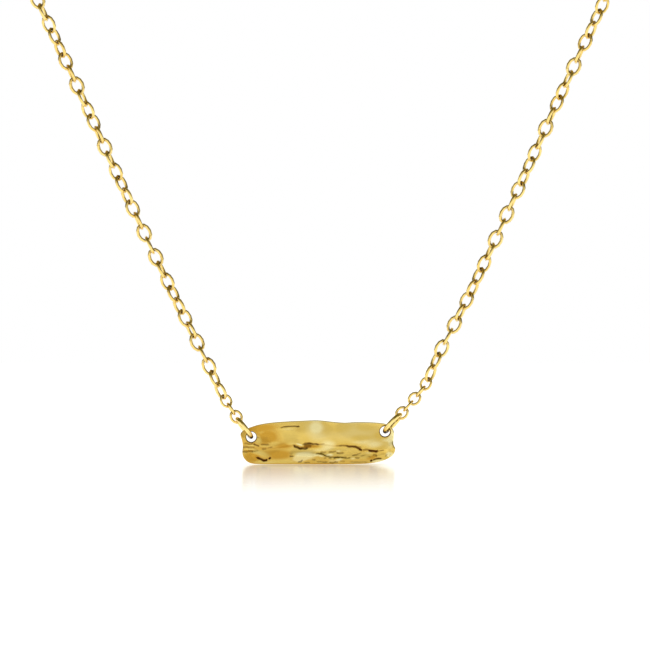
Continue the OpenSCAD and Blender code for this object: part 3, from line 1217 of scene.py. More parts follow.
@dataclass(frozen=True)
class Clasp:
    """The spring ring at the nape with its eye and its trigger, as one plain closed piece.

    Attributes:
        sizes: The necklace's sizes.
        gold: Its finish.
        maker: What makes its ring and its eye.
        trigger_sides: How many sides the trigger has.
        head: The trigger's outline. Rows are (share of its length, share of its width).
    """

    sizes: Sizes
    gold: Gold
    maker: LoopMaker = LoopMaker(round_steps=96, wire_sides=24)
    trigger_sides: int = 24
    head: Table = ((0.0, 0.85), (0.6, 0.85), (0.68, 1.0), (0.94, 1.0), (0.98, 0.92), (1.0, 0.75))

    @property
    def middle(self) -> np.ndarray:
        """The middle of the spring ring."""
        x = self.sizes.clasp_row / 2 - self.sizes.clasp_to_ring
        return np.array([x, self.sizes.nape_y, 0.0])

    def build(self) -> None:
        """Makes the clasp as one piece."""
        sizes = self.sizes
        along, normal = TO_RIGHT, -TO_NAPE
        ring = Loop(self.middle, along, normal,
                    (sizes.clasp_diameter, sizes.clasp_diameter, sizes.clasp_wire))
        eye = Loop(self.middle - along * sizes.eye_offset, along, normal,
                   (sizes.eye_diameter, sizes.eye_diameter, sizes.eye_wire))
        gold = self.gold.material()
        loops = self.maker.make("clasp_loops", [ring, eye], gold)
        trigger = self._trigger(gold)
        piece = joined("spring_ring", [loops, trigger])
        dress(piece, Body.NECKLACE, "clasp_gold", "clasp")

    def _trigger(self, gold: bpy.types.Material) -> bpy.types.Object:
        """The trigger, turned round its own line, with a rounded head.

        Args:
            gold: Its material.

        Returns:
            The trigger as a piece.
        """
        sizes = self.sizes
        length = sizes.trigger_length + sizes.solder_depth
        angle = math.radians(sizes.trigger_place)
        way = np.array([math.cos(angle), 0.0, math.sin(angle)])
        across = np.array([-way[2], 0.0, way[0]])
        start = self.middle + way * (sizes.clasp_diameter / 2 - sizes.solder_depth)
        sides = self.trigger_sides
        rows = []
        for share, width in self.head:
            for k in range(sides):
                turn = 2 * math.pi * k / sides
                out = (across * math.cos(turn) + TO_NAPE * math.sin(turn)) * width
                rows.append(start + way * length * share + out * sizes.trigger_wire / 2)
        faces = [[row * sides + k, row * sides + (k + 1) % sides,
                  (row + 1) * sides + (k + 1) % sides, (row + 1) * sides + k]
                 for row in range(len(self.head) - 1) for k in range(sides)]
        faces.append(list(range(sides)))
        faces.append(list(range(len(rows) - sides, len(rows))))
        mesh = bpy.data.meshes.new("trigger")
        mesh.from_pydata([tuple(row * MM) for row in rows], [], faces)
        mesh.materials.append(gold)
        return piece_from("trigger", mesh)


# The bar


@dataclass
class Shell:
    """A closed shell under construction, in millimetres.

    Attributes:
        points: Its points.
        dark: How dark the shade painted at each point is, from 0 to 1.
        painted_light: The light painted at each point: above 0 a painted highlight, below 0 painted
            shade.
        faces: The numbers of each face's points.
    """

    points: list[np.ndarray] = field(default_factory=list)
    dark: list[float] = field(default_factory=list)
    painted_light: list[float] = field(default_factory=list)
    faces: list[list[int]] = field(default_factory=list)

    def point(self, place: np.ndarray, dark: float = 0.0, painted_light: float = 0.0) -> int:
        """Adds a point.

        Args:
            place: Where it is.
            dark: How dark the shade painted at it is, from 0 to 1.
            painted_light: The light painted at it: above 0 a painted highlight, below 0 painted
                shade.

        Returns:
            Its number.
        """
        self.points.append(np.array(place, float))
        self.dark.append(float(dark))
        self.painted_light.append(float(painted_light))
        return len(self.points) - 1

    def piece(self, name: str, material: bpy.types.Material) -> bpy.types.Object:
        """Makes the shell's piece, without the points that no face uses.

        Args:
            name: The piece's name.
            material: Its material.

        Returns:
            The piece, smooth, with its painted shade and its painted light as attributes of its
            mesh.
        """
        used = sorted({point for face in self.faces for point in face})
        number = {point: i for i, point in enumerate(used)}
        mesh = bpy.data.meshes.new(name)
        mesh.from_pydata([tuple(self.points[point] * MM) for point in used], [],
                         [[number[point] for point in face] for face in self.faces])
        # The mesh carries the painted shade and the painted light, which its material reads.
        for attribute, values in (("crease", self.dark), ("painted_light", self.painted_light)):
            made = mesh.attributes.new(attribute, "FLOAT", "POINT")
            made.data.foreach_set("value", [values[point] for point in used])
        mesh.polygons.foreach_set("use_smooth", [True] * len(mesh.polygons))
        mesh.materials.append(material)
        return piece_from(name, mesh)


@dataclass(frozen=True)
class Waves:
    """A smooth random pattern of crossing waves.

    Attributes:
        seed: The random numbers' seed.
        short: The shortest wave, in millimetres.
        long: The longest wave.
        stretch: How much longer the waves are along the bar than up it.
        count: How many waves cross.
    """

    seed: int
    short: float
    long: float
    stretch: float
    count: int = 14

    def at(self, places: np.ndarray) -> np.ndarray:
        """The pattern at places.

        Args:
            places: Places on the bar, along it and up it, in millimetres.

        Returns:
            The pattern, mostly between -1 and 1.
        """
        chance = np.random.default_rng(self.seed)
        x = places[..., 0] / self.stretch
        z = places[..., 1]
        total = np.zeros(places.shape[:2])
        for _ in range(self.count):
            turn, start = chance.uniform(0.0, 2 * math.pi, 2)
            wave = 2 * math.pi / chance.uniform(self.short, self.long)
            total += np.sin(wave * (x * math.cos(turn) + z * math.sin(turn)) + start)
        return total / math.sqrt(self.count)


@dataclass(frozen=True)
class Bar:
    """The folded and creased gold bar.

    The outline, the lap and the folds are the construction's. The cracks, wrinkles and swells are
    finer, and belong to the finish, as do the highlights and shade painted on it. Places are
    (along, up), in shares of the bar's length and height.

    Attributes:
        sizes: The necklace's sizes.
        gold: Its finish.
        holes: The middles of its two holes.
        columns: Cells along its length.
        rows: Cells up its height.
        end_crowding: How much closer the cells are near its ends, from 0 to 1.
        edge_crowding: How much closer they are near its lower and upper edges.
        hole_bevel: How far the mouths of its holes are rounded, in millimetres.
        hole_taper: How much smaller a hole's radius is at the back, in millimetres.
        hole_steps: Steps round a mouth's bevel.
        hole_painted_shade: How dark the shade painted inside a hole is, from 0 to 1.
        left_end: The outline of its left end, upwards.
        right_end: The outline of its right end.
        lower_edge: The outline of its lower edge, from left to right.
        upper_edge: The outline of its upper edge.
        lap_line: The lap's lower edge. Rows are (along, up, share of the relief's height).
        lap_slope: Height of the slope at that edge, in shares of the bar's.
        lap_fall: How much of its height the lap loses above its edge, from 0 to 1.
        lap_fall_height: Height over which it loses that.
        folds: Rows are (along and up of one end, along and up of the other, half width as a
            share of the bar's height, share of the relief's height).
        rim_power_along: How sharply its ends are rounded over. A higher power is sharper.
        rim_power_up: How sharply its lower and upper edges are.
        rim_root: The power of the roundings' profile. A lower one is fuller.
        swells: The slow waves of its front.
        back_swells: The slow waves of its back.
        swell_height: Their height, in millimetres.
        wrinkles: The waves whose crests are its wrinkles.
        wrinkle_height: The wrinkles' height, in millimetres.
        fine_wrinkles: The waves whose crests are its finer wrinkles.
        fine_wrinkle_height: Their height, in millimetres.
        crumples: Where it is wrinkled. Rows are (along, up, half length, half height, share of
            the wrinkles' height).
        painted_lights: Where highlights and shade are painted on it, paler and warmer. Rows are
            (along, up, half length, half height, slant, strength), above 0 for a painted highlight
            and below 0 for painted shade.
        rim_painted_light: How strong the highlight painted along its upper edge is, and the warm
            shade painted along its lower one.
        rim_painted_light_width: How much of its height those painted bands reach over.
        cracks: Rows are (half width, depth, darkness of the shade painted in it, then along and
            up of each point), with the width and the depth in millimetres.
        crack_edge: How sharp the shade painted in a crack is at its sides. At 1 it is darkest
            on its middle line alone, and above 1 over more of its width.
        crack_bluntness: How blunt a crack's ends are.
        crack_thinnest: The square of the share of its width that a crack has at its ends.
        wander_along: The waves by which cracks wander along the bar.
        wander_up: The waves by which they wander up it.
        crack_wander: How far they wander, in millimetres.
        blotches: The waves by which their painted shade is lighter in places.
        blotch_share: How much lighter it is there, from 0 to 1.
    """

    sizes: Sizes
    gold: HammeredGold
    holes: tuple[np.ndarray, ...]
    columns: int = 420
    rows: int = 112
    end_crowding: float = 0.35
    edge_crowding: float = 0.7
    hole_bevel: float = 0.15
    hole_taper: float = 0.03
    hole_steps: int = 5
    hole_painted_shade: float = 1.0
    left_end: Table = ((0.039, 0.073), (0.021, 0.15), (0.012, 0.26), (0.015, 0.4), (0.01, 0.54),
                       (0, 0.67), (0.012, 0.75), (0.036, 0.797))
    right_end: Table = ((0.955, 0.134), (0.985, 0.21), (1, 0.35), (0.988, 0.46), (0.99, 0.62),
                        (0.99, 0.75), (0.968, 0.865))
    lower_edge: Table = ((0.039, 0.073), (0.065, 0.027), (0.107, 0.007), (0.22, 0), (0.64, 0),
                         (0.78, 0.01), (0.858, 0.034), (0.913, 0.075), (0.955, 0.134))
    upper_edge: Table = ((0.036, 0.797), (0.068, 0.845), (0.12, 0.902), (0.19, 0.943),
                         (0.27, 0.968), (0.39, 0.99), (0.5, 1), (0.615, 0.96), (0.675, 0.948),
                         (0.74, 0.96), (0.825, 0.958), (0.887, 0.945), (0.935, 0.92),
                         (0.968, 0.865))
    lap_line: Table = ((0, 0.4, 0), (0.1, 0.4, 0.25), (0.2, 0.36, 0.3), (0.34, 0.43, 0.45),
                       (0.41, 0.4, 0.6), (0.51, 0.45, 0.5), (0.6, 0.42, 0.35),
                       (0.67, 0.42, 0.75), (0.75, 0.38, 1), (0.785, 0.31, 1), (0.81, 0.33, 0.8),
                       (0.86, 0.29, 1), (0.93, 0.31, 0.5), (1, 0.35, 0))
    lap_slope: float = 0.07
    lap_fall: float = 0.6
    lap_fall_height: float = 0.6
    folds: Table = (
        (0.1, 0.24, 0.17, 0.17, 0.12, 0.3),
        (0.35, 0.2, 0.46, 0.19, 0.14, 0.6),
        (0.5, 0.21, 0.57, 0.14, 0.08, 0.45),
        (0.62, 0.12, 0.7, 0.1, 0.08, 0.45),
        (0.72, 0.14, 0.82, 0.15, 0.09, 0.35),
        (0.985, 0.2, 0.98, 0.42, 0.12, 0.5),
        (0.03, 0.6, 0.05, 0.72, 0.12, 0.3),
        (0.17, 0.62, 0.21, 0.5, 0.3, -0.3),
        (0.46, 0.75, 0.5, 0.62, 0.4, 0.35),
        (0.7, 0.72, 0.84, 0.66, 0.35, 0.2))
    rim_power_along: float = 160.0
    rim_power_up: float = 100.0
    rim_root: float = 0.26
    swells: Waves = Waves(3, 3.0, 8.0, 1.6)
    back_swells: Waves = Waves(4, 2.5, 7.0, 1.6)
    swell_height: float = 0.024
    wrinkles: Waves = Waves(5, 0.9, 1.9, 2.2)
    wrinkle_height: float = 0.028
    fine_wrinkles: Waves = Waves(8, 0.5, 0.9, 2.0)
    fine_wrinkle_height: float = 0.02
    crumples: Table = (
        (0.6, 0.17, 0.2, 0.2, 1.0), (0.92, 0.22, 0.09, 0.16, 0.7), (0.42, 0.1, 0.14, 0.12, 0.4),
        (0.78, 0.14, 0.16, 0.16, 0.7), (0.07, 0.38, 0.08, 0.16, 0.5))
    painted_lights: Table = (
        (0.1, 0.5, 0.4, 0.9, 0.0, -0.5), (0.55, 0.1, 0.7, 0.45, 0.0, -0.1),
        (0.15, 0.65, 0.22, 0.5, 0.0, -0.3), (0.18, 0.62, 0.07, 0.17, 0.0, -0.8),
        (0.13, 0.73, 0.035, 0.06, 0.0, 0.35), (0.085, 0.79, 0.08, 0.16, 0.0, -0.8),
        (0.16, 0.85, 0.12, 0.12, 0.0, -0.4), (0.285, 0.42, 0.08, 0.1, 0.0, -0.6),
        (0.25, 0.22, 0.14, 0.15, 0.0, -0.9), (0.075, 0.16, 0.075, 0.16, 0.0, -0.9),
        (0.06, 0.31, 0.05, 0.05, 0.0, -0.5), (0.3, 0.68, 0.08, 0.2, 0.0, 0.3),
        (0.3, 0.8, 0.09, 0.05, 0.3, 0.5), (0.115, 0.55, 0.035, 0.14, 0.0, 0.75),
        (0.215, 0.475, 0.06, 0.07, 0.0, 0.4), (0.16, 0.415, 0.1, 0.05, 0.0, 0.35),
        (0.115, 0.27, 0.06, 0.09, -0.3, 0.85), (0.17, 0.21, 0.06, 0.09, 0.0, 0.45),
        (0.165, 0.045, 0.1, 0.07, 0.0, 0.6), (0.3, 0.05, 0.16, 0.1, 0.0, 0.3),
        (0.33, 0.47, 0.05, 0.06, 0.0, 0.5), (0.49, 0.86, 0.06, 0.2, 0.0, 0.75),
        (0.48, 0.72, 0.12, 0.4, -0.1, 0.45), (0.385, 0.8, 0.05, 0.13, 0.0, -0.3),
        (0.55, 0.74, 0.05, 0.12, 0.0, -0.15), (0.64, 0.84, 0.1, 0.16, 0.0, -0.35),
        (0.73, 0.72, 0.36, 0.42, 0.0, 0.35), (0.57, 0.43, 0.07, 0.16, 0.0, 0.8),
        (0.52, 0.33, 0.08, 0.08, 0.0, 0.5), (0.41, 0.2, 0.11, 0.15, 0.0, 1.5),
        (0.375, 0.12, 0.07, 0.09, 0.0, 1.0), (0.44, 0.31, 0.12, 0.05, 0.0, 0.2),
        (0.383, 0.448, 0.022, 0.05, -0.5, 1.4), (0.44, 0.41, 0.05, 0.06, 0.0, -1.6),
        (0.485, 0.405, 0.05, 0.05, 0.0, -1.0), (0.39, 0.3, 0.08, 0.04, 0.0, -0.3),
        (0.8, 0.5, 0.12, 0.12, 0.4, 0.4), (0.87, 0.44, 0.08, 0.12, 0.3, 0.6),
        (0.78, 0.6, 0.09, 0.1, 0.0, -0.35), (0.8, 0.84, 0.08, 0.12, 0.0, -0.3),
        (0.91, 0.66, 0.07, 0.1, 0.0, -0.3), (0.7, 0.45, 0.12, 0.05, -0.3, -0.3),
        (0.69, 0.33, 0.1, 0.08, 0.0, 0.2), (0.955, 0.4, 0.04, 0.2, 0.0, 0.3),
        (0.975, 0.62, 0.035, 0.3, 0.0, 1.2), (0.945, 0.55, 0.05, 0.06, 0.0, 0.6),
        (0.97, 0.22, 0.05, 0.12, -0.3, 0.6), (0.93, 0.08, 0.08, 0.07, 0.3, 0.6),
        (0.852, 0.165, 0.045, 0.09, 0.3, -0.9), (0.93, 0.26, 0.04, 0.06, 0.0, -0.4),
        (0.725, 0.13, 0.03, 0.05, 0.0, 0.7), (0.825, 0.26, 0.04, 0.05, 0.0, 0.5),
        (0.495, 0.215, 0.035, 0.05, 0.0, 0.7), (0.522, 0.19, 0.025, 0.04, 0.0, 0.9),
        (0.575, 0.215, 0.04, 0.05, 0.0, 1.2), (0.632, 0.1, 0.04, 0.06, 0.4, 1.1),
        (0.585, 0.08, 0.03, 0.04, 0.0, 0.7), (0.63, 0.3, 0.03, 0.04, 0.0, 0.6),
        (0.38, 0.1, 0.03, 0.06, 0.0, 0.8), (0.54, 0.02, 0.1, 0.03, 0.0, -0.4),
        (0.06, 0.345, 0.045, 0.024, 0.0, 1.1), (0.07, 0.428, 0.04, 0.022, 0.0, 0.9),
        (0.9, 0.07, 0.09, 0.05, 0.3, 1.3), (0.97, 0.2, 0.04, 0.1, -0.2, 1.3))
    rim_painted_light: float = 0.6
    rim_painted_light_width: float = 0.05
    cracks: Table = (
        (0.12, 0.04, 0.75, 0.254, 0.832, 0.285, 0.856, 0.33, 0.866, 0.385, 0.863),
        (0.16, 0.05, 0.85, 0.362, 0.862, 0.382, 0.868),
        (0.2, 0.1, 0.95, 0.338, 0.442, 0.352, 0.408, 0.366, 0.392, 0.384, 0.362, 0.416, 0.37,
         0.442, 0.388),
        (0.17, 0.08, 0.9, 0.4, 0.462, 0.438, 0.478, 0.472, 0.46, 0.515, 0.445),
        (0.13, 0.03, 0.3, 0.505, 0.448, 0.545, 0.465),
        (0.3, 0.02, 0.62, 0.408, 0.428, 0.43, 0.424, 0.462, 0.424),
        (0.14, 0.03, 0.4, 0.612, 0.415, 0.65, 0.417),
        (0.16, 0.06, 0.6, 0.63, 0.416, 0.668, 0.43, 0.695, 0.414),
        (0.19, 0.1, 0.92, 0.672, 0.426, 0.704, 0.408, 0.742, 0.401, 0.766, 0.362,
         0.785, 0.315),
        (0.19, 0.08, 1.2, 0.764, 0.355, 0.784, 0.312),
        (0.12, 0.03, 0.45, 0.742, 0.401, 0.782, 0.388),
        (0.16, 0.04, 0.5, 0.785, 0.32, 0.815, 0.338, 0.835, 0.325),
        (0.22, 0.11, 1.2, 0.82, 0.318, 0.845, 0.305, 0.868, 0.298, 0.892, 0.302),
        (0.1, 0.05, 0.7, 0.885, 0.302, 0.905, 0.315, 0.928, 0.324),
        (0.12, 0.03, 0.4, 0.781, 0.27, 0.75, 0.235, 0.718, 0.2),
        (0.19, 0.09, 1.25, 0.1, 0.166, 0.13, 0.128, 0.152, 0.092, 0.166, 0.09, 0.173, 0.125),
        (0.17, 0.08, 1.2, 0.182, 0.114, 0.19, 0.142, 0.198, 0.162),
        (0.16, 0.03, 0.4, 0.024, 0.488, 0.06, 0.466, 0.085, 0.475),
        (0.18, 0.03, 0.5, 0.014, 0.404, 0.036, 0.4, 0.06, 0.392),
        (0.16, 0.03, 0.35, 0.055, 0.398, 0.095, 0.39),
        (0.19, 0.03, 0.5, 0.014, 0.298, 0.036, 0.292, 0.05, 0.3),
        (0.18, 0.04, 0.65, 0.048, 0.308, 0.066, 0.31, 0.084, 0.302),
        (0.16, 0.03, 0.35, 0.08, 0.308, 0.12, 0.316),
        (0.17, 0.05, 0.7, 0.084, 0.465, 0.104, 0.44, 0.122, 0.41),
        (0.15, 0.04, 0.45, 0.132, 0.468, 0.158, 0.452, 0.186, 0.458),
        (0.15, 0.04, 0.5, 0.14, 0.348, 0.17, 0.36),
        (0.13, 0.03, 0.4, 0.176, 0.366, 0.21, 0.396),
        (0.11, 0.03, 0.35, 0.1, 0.64, 0.125, 0.6),
        (0.15, 0.05, 0.65, 0.316, 0.184, 0.342, 0.19),
        (0.16, 0.04, 0.6, 0.37, 0.056, 0.39, 0.062, 0.4, 0.11),
        (0.12, 0.04, 0.4, 0.41, 0.049, 0.45, 0.045),
        (0.15, 0.04, 0.45, 0.462, 0.108, 0.486, 0.104),
        (0.15, 0.04, 0.45, 0.491, 0.058, 0.517, 0.067, 0.542, 0.06, 0.566, 0.064),
        (0.15, 0.04, 0.45, 0.567, 0.045, 0.596, 0.046, 0.615, 0.056, 0.632, 0.042),
        (0.17, 0.04, 0.65, 0.608, 0.054, 0.62, 0.056),
        (0.14, 0.04, 0.35, 0.515, 0.276, 0.556, 0.283),
        (0.15, 0.04, 0.5, 0.566, 0.287, 0.596, 0.287, 0.622, 0.306),
        (0.15, 0.04, 0.5, 0.618, 0.276, 0.64, 0.255, 0.67, 0.27),
        (0.18, 0.05, 0.5, 0.568, 0.136, 0.585, 0.168, 0.614, 0.164, 0.646, 0.186),
        (0.16, 0.04, 0.4, 0.537, 0.134, 0.554, 0.158),
        (0.14, 0.04, 0.35, 0.54, 0.21, 0.558, 0.196),
        (0.18, 0.03, 0.3, 0.64, 0.084, 0.676, 0.062),
        (0.16, 0.04, 0.45, 0.65, 0.164, 0.684, 0.164),
        (0.13, 0.04, 0.4, 0.64, 0.252, 0.668, 0.268),
        (0.14, 0.04, 0.4, 0.74, 0.156, 0.768, 0.155),
        (0.11, 0.03, 0.35, 0.7, 0.06, 0.76, 0.056, 0.826, 0.06),
        (0.18, 0.07, 1.0, 0.834, 0.084, 0.85, 0.092),
        (0.14, 0.06, 0.75, 0.85, 0.094, 0.866, 0.12, 0.894, 0.138, 0.91, 0.138),
        (0.15, 0.05, 0.8, 0.885, 0.136, 0.898, 0.138),
        (0.13, 0.05, 0.5, 0.852, 0.216, 0.873, 0.232, 0.88, 0.182),
        (0.14, 0.03, 0.35, 0.932, 0.198, 0.95, 0.234))
    crack_edge: float = 1.5
    crack_bluntness: float = 2.5
    crack_thinnest: float = 0.12
    wander_along: Waves = Waves(21, 0.5, 1.6, 1.0)
    wander_up: Waves = Waves(22, 0.5, 1.6, 1.0)
    crack_wander: float = 0.022
    blotches: Waves = Waves(23, 0.5, 1.4, 1.5)
    blotch_share: float = 0.25

    def _edge_along(self, edge: Table, share: np.ndarray) -> np.ndarray:
        """Points on the lower or upper edge."""
        at = mix(edge[0][0], edge[-1][0], share)
        return np.stack([at, smooth_read(edge, at, 0, 1)], axis=-1)

    def _edge_up(self, edge: Table, share: np.ndarray) -> np.ndarray:
        """Points on the left or right end."""
        at = mix(edge[0][1], edge[-1][1], share)
        return np.stack([smooth_read(edge, at, 1, 0), at], axis=-1)

    def _places(self, u: np.ndarray, v: np.ndarray) -> np.ndarray:
        """Fills the outline with a grid.

        Args:
            u: How far the grid's columns are from the left end to the right, from 0 to 1.
            v: How far its rows are from the lower edge to the upper.

        Returns:
            The place of each point of the grid.
        """
        lower, upper = self._edge_along(self.lower_edge, u), self._edge_along(self.upper_edge, u)
        left, right = self._edge_up(self.left_end, v), self._edge_up(self.right_end, v)
        corners = [np.array(row) for row in (self.lower_edge[0], self.lower_edge[-1],
                                             self.upper_edge[0], self.upper_edge[-1])]
        across, up = u[:, None, None], v[None, :, None]
        flat = mix(mix(corners[0], corners[1], across), mix(corners[2], corners[3], across), up)
        return (mix(lower[:, None], upper[:, None], up) + mix(left[None], right[None], across)
                - flat)

    def _relief(self, places: np.ndarray) -> np.ndarray:
        """The lap and the folds.

        Args:
            places: Places on the bar.

        Returns:
            Their height at the places, in millimetres.
        """
        above = places[..., 1] - smooth_read(self.lap_line, places[..., 0], 0, 1)
        proud = smooth_read(self.lap_line, places[..., 0], 0, 2)
        height = (proud * ramp(0.5 + above / self.lap_slope)
                  * (1 - self.lap_fall * ramp(above / self.lap_fall_height)))
        for from_along, from_up, to_along, to_up, half_width, high in self.folds:
            away = self._away(places, (from_along, from_up), (to_along, to_up))[0]
            height = height + high * hump(away / (half_width * self.sizes.bar_height))
        return height * self.sizes.relief_height

    def _away(self, places: np.ndarray, start: Row, end: Row) -> tuple[np.ndarray, np.ndarray]:
        """The distance from a straight stretch, and how far along it that is.

        Args:
            places: Places on the bar.
            start: The stretch's first point.
            end: Its last point.

        Returns:
            The distances in millimetres, and the shares along the stretch.
        """
        size = self.sizes.face
        way = (np.array(end) - start) * size
        step = (places - np.array(start)) * size
        share = np.clip((step @ way) / (way @ way), 0.0, 1.0)
        return np.linalg.norm(step - share[..., None] * way, axis=-1), share

    def _cracks(self, places: np.ndarray) -> tuple[np.ndarray, np.ndarray]:
        """The cracks and the shade painted in them, which narrow and grow paler towards their ends.

        Args:
            places: Places on the bar.

        Returns:
            The cracks' depth at the places in millimetres, and how dark the shade painted in them
            is, from 0 to 1.
        """
        wander = np.stack([self._pattern(self.wander_along, places),
                           self._pattern(self.wander_up, places)], axis=-1)
        places = places + wander * self.crack_wander / self.sizes.face
        depth = np.zeros(places.shape[:2])
        dark = np.zeros(places.shape[:2])
        for half_width, deep, darkness, *flat in self.cracks:
            points = list(zip(flat[::2], flat[1::2]))
            stretches = len(points) - 1
            for i in range(stretches):
                away, share = self._away(places, points[i], points[i + 1])
                from_end = self.crack_bluntness * np.sin(math.pi * (i + share) / stretches)
                taper = np.sqrt(np.clip(from_end, self.crack_thinnest, 1.0))
                nearness = 1 - away / (half_width * taper)
                depth = np.maximum(depth, ramp(nearness) * deep * taper)
                # Shade painted in the crack, dark over more of its width than the groove's deepest
                # part.
                dark = np.maximum(dark, ramp(nearness * self.crack_edge) * darkness * taper)
        blotches = 1.0 - self.blotch_share * ramp(self._pattern(self.blotches, places))
        return depth, np.minimum(dark * blotches, 1.0)

    def _pattern(self, waves: Waves, places: np.ndarray) -> np.ndarray:
        """A pattern of waves at places on the bar."""
        return waves.at(places * self.sizes.face)

    def _crumple(self, places: np.ndarray) -> np.ndarray:
        """The small sharp wrinkles, most of them below the lap.

        Args:
            places: Places on the bar.

        Returns:
            Their height at the places, in millimetres.
        """
        reach = np.zeros(places.shape[:2])
        for along, up, half_along, half_up, much in self.crumples:
            away = np.hypot((places[..., 0] - along) / half_along,
                            (places[..., 1] - up) / half_up)
            reach = np.maximum(reach, much * hump(away))
        ridges = 1.0 - np.abs(self._pattern(self.wrinkles, places))
        finer = 1.0 - np.abs(self._pattern(self.fine_wrinkles, places))
        return reach * (self.wrinkle_height * ridges + self.fine_wrinkle_height * finer)

    def _painted_lights(self, places: np.ndarray) -> np.ndarray:
        """Where highlights and shade are painted on the gold, paler and warmer.

        Args:
            places: Places on the bar.

        Returns:
            The painted light at the places, above 0 for a painted highlight, paler, and below 0 for
            painted shade, warmer.
        """
        painted_light = np.zeros(places.shape[:2])
        for along, up, half_along, half_up, slant, much in self.painted_lights:
            step_up = places[..., 1] - up
            step_along = places[..., 0] - along - slant * step_up
            painted_light += much * hump(np.hypot(step_along / half_along, step_up / half_up))
        return painted_light

    def _grid(self) -> tuple[np.ndarray, ...]:
        """The front's and the back's points, and the front's painted shade and painted light.

        Returns:
            Both faces' points in millimetres, and the front's attributes.
        """
        t = np.linspace(0.0, 1.0, self.columns + 1)
        u = t - self.end_crowding * np.sin(2 * math.pi * t) / (2 * math.pi)
        t = np.linspace(0.0, 1.0, self.rows + 1)
        v = mix(t, (1 - np.cos(math.pi * t)) / 2, self.edge_crowding)
        places = self._places(u, v)
        rim = ((1 - np.abs(2 * u - 1) ** self.rim_power_along)[:, None]
               * (1 - np.abs(2 * v - 1) ** self.rim_power_up)[None]) ** self.rim_root
        depth, dark = self._cracks(places)
        coarse = self._relief(places)
        swells = self.swell_height * self._pattern(self.swells, places)
        relief = (coarse + self._crumple(places) + swells - depth) * rim
        half = rim * self.sizes.bar_thickness / 2
        back_relief = self.swell_height * self._pattern(self.back_swells, places) * rim
        plate_back = float((coarse * rim).mean()) / 2
        corner = self.sizes.bar_corner
        x = corner[0] + places[..., 0] * self.sizes.bar_length
        z = corner[2] + places[..., 1] * self.sizes.bar_height
        front, back = (np.stack([x, corner[1] + plate_back + y, z], axis=-1)
                       for y in (-half - relief, half + back_relief))
        # Painted highlight along the upper edge, painted warm shade along the lower edge.
        rim_painted_light = ramp((v - 1.0) / self.rim_painted_light_width + 1.0) - ramp(1.0 - v / self.rim_painted_light_width)
        painted_light = self._painted_lights(places) + self.rim_painted_light * rim_painted_light[None]
        return front, back, dark, np.clip(painted_light, -1.0, 1.0)

    def build(self) -> None:
        """Makes the bar's mesh, front, back and the walls of its holes, as one closed shell."""
        front, back, dark, painted_light = self._grid()
        shell = Shell()
        across, up = front.shape[:2]
        edge = np.zeros((across, up), bool)
        edge[[0, -1], :] = True
        edge[:, [0, -1]] = True
        front_ids = np.array([[shell.point(front[i, j], dark[i, j], painted_light[i, j])
                               for j in range(up)] for i in range(across)])
        back_ids = np.array([[front_ids[i, j] if edge[i, j] else shell.point(back[i, j])
                              for j in range(up)] for i in range(across)])
        kept = np.ones((across - 1, up - 1), bool)
        cell = (front[:-1, :-1] + front[1:, :-1] + front[1:, 1:] + front[:-1, 1:]) / 4
        radius = self.sizes.hole_diameter / 2 + self.hole_bevel
        for hole in self.holes:
            kept &= np.hypot(cell[..., 0] - hole[0], cell[..., 2] - hole[2]) > radius
        for i, j in zip(*np.nonzero(kept)):
            ring = ((i, j), (i + 1, j), (i + 1, j + 1), (i, j + 1))
            shell.faces.append([front_ids[at] for at in ring])
            shell.faces.append([back_ids[at] for at in reversed(ring)])
        for hole in self.holes:
            self._line_hole(shell, hole, kept, front_ids, back_ids)
        gold = self.gold.material()
        dress(shell.piece("creased_bar", gold), Body.BAR, "bar_gold", "bar")

    def _line_hole(self, shell: Shell, hole: np.ndarray, kept: np.ndarray,
                   front_ids: np.ndarray, back_ids: np.ndarray) -> None:
        """Gives a hole its round bevelled mouth on both faces and the wall between them.

        Args:
            shell: The bar's shell.
            hole: The hole's middle.
            kept: Which cells of the grid have faces.
            front_ids: The front's points in the shell.
            back_ids: The back's.
        """
        rim = []
        for i in range(1, kept.shape[0]):
            for j in range(1, kept.shape[1]):
                round_it = kept[i - 1:i + 1, j - 1:j + 1]
                x, _, z = shell.points[front_ids[i, j]]
                near = math.hypot(x - hole[0], z - hole[2]) < self.sizes.hole_diameter
                if near and 0 < round_it.sum() < round_it.size:
                    rim.append((math.atan2(z - hole[2], x - hole[0]), i, j))
        rim.sort()
        radius = self.sizes.hole_diameter / 2
        rings = []
        for ids, sign in ((front_ids, 1.0), (back_ids, -1.0)):
            mouth = []
            for angle, i, j in rim:
                way = np.array([math.cos(angle), 0.0, math.sin(angle)])
                y = shell.points[ids[i, j]][1]
                shell.points[ids[i, j]] = self._on_wall(hole, way, radius + self.hole_bevel, y)
                mouth.append((ids[i, j], way, y))
            rings.append([point for point, _, _ in mouth])
            for step in range(1, self.hole_steps + 1):
                turn = math.pi / 2 * step / self.hole_steps
                taper = self.hole_taper * (1 - sign) / 2
                out = radius + self.hole_bevel * (1 - math.sin(turn)) - taper
                down = sign * self.hole_bevel * (1 - math.cos(turn))
                # Shade painted on the hole's bevel and wall, darker deeper into the hole.
                dark = self.hole_painted_shade * step / self.hole_steps
                rings.append([shell.point(self._on_wall(hole, way, out, y + down), dark)
                              for _, way, y in mouth])
        rings = rings[:len(rings) // 2] + rings[:len(rings) // 2 - 1:-1]
        for first, second in zip(rings, rings[1:]):
            for k, after in enumerate([*range(1, len(first)), 0]):
                shell.faces.append([first[k], first[after], second[after], second[k]])

    def _on_wall(self, hole: np.ndarray, way: np.ndarray, out: float, y: float) -> np.ndarray:
        """A point at a distance from a hole's line."""
        return np.array([hole[0] + way[0] * out, y, hole[2] + way[2] * out])


# The studio


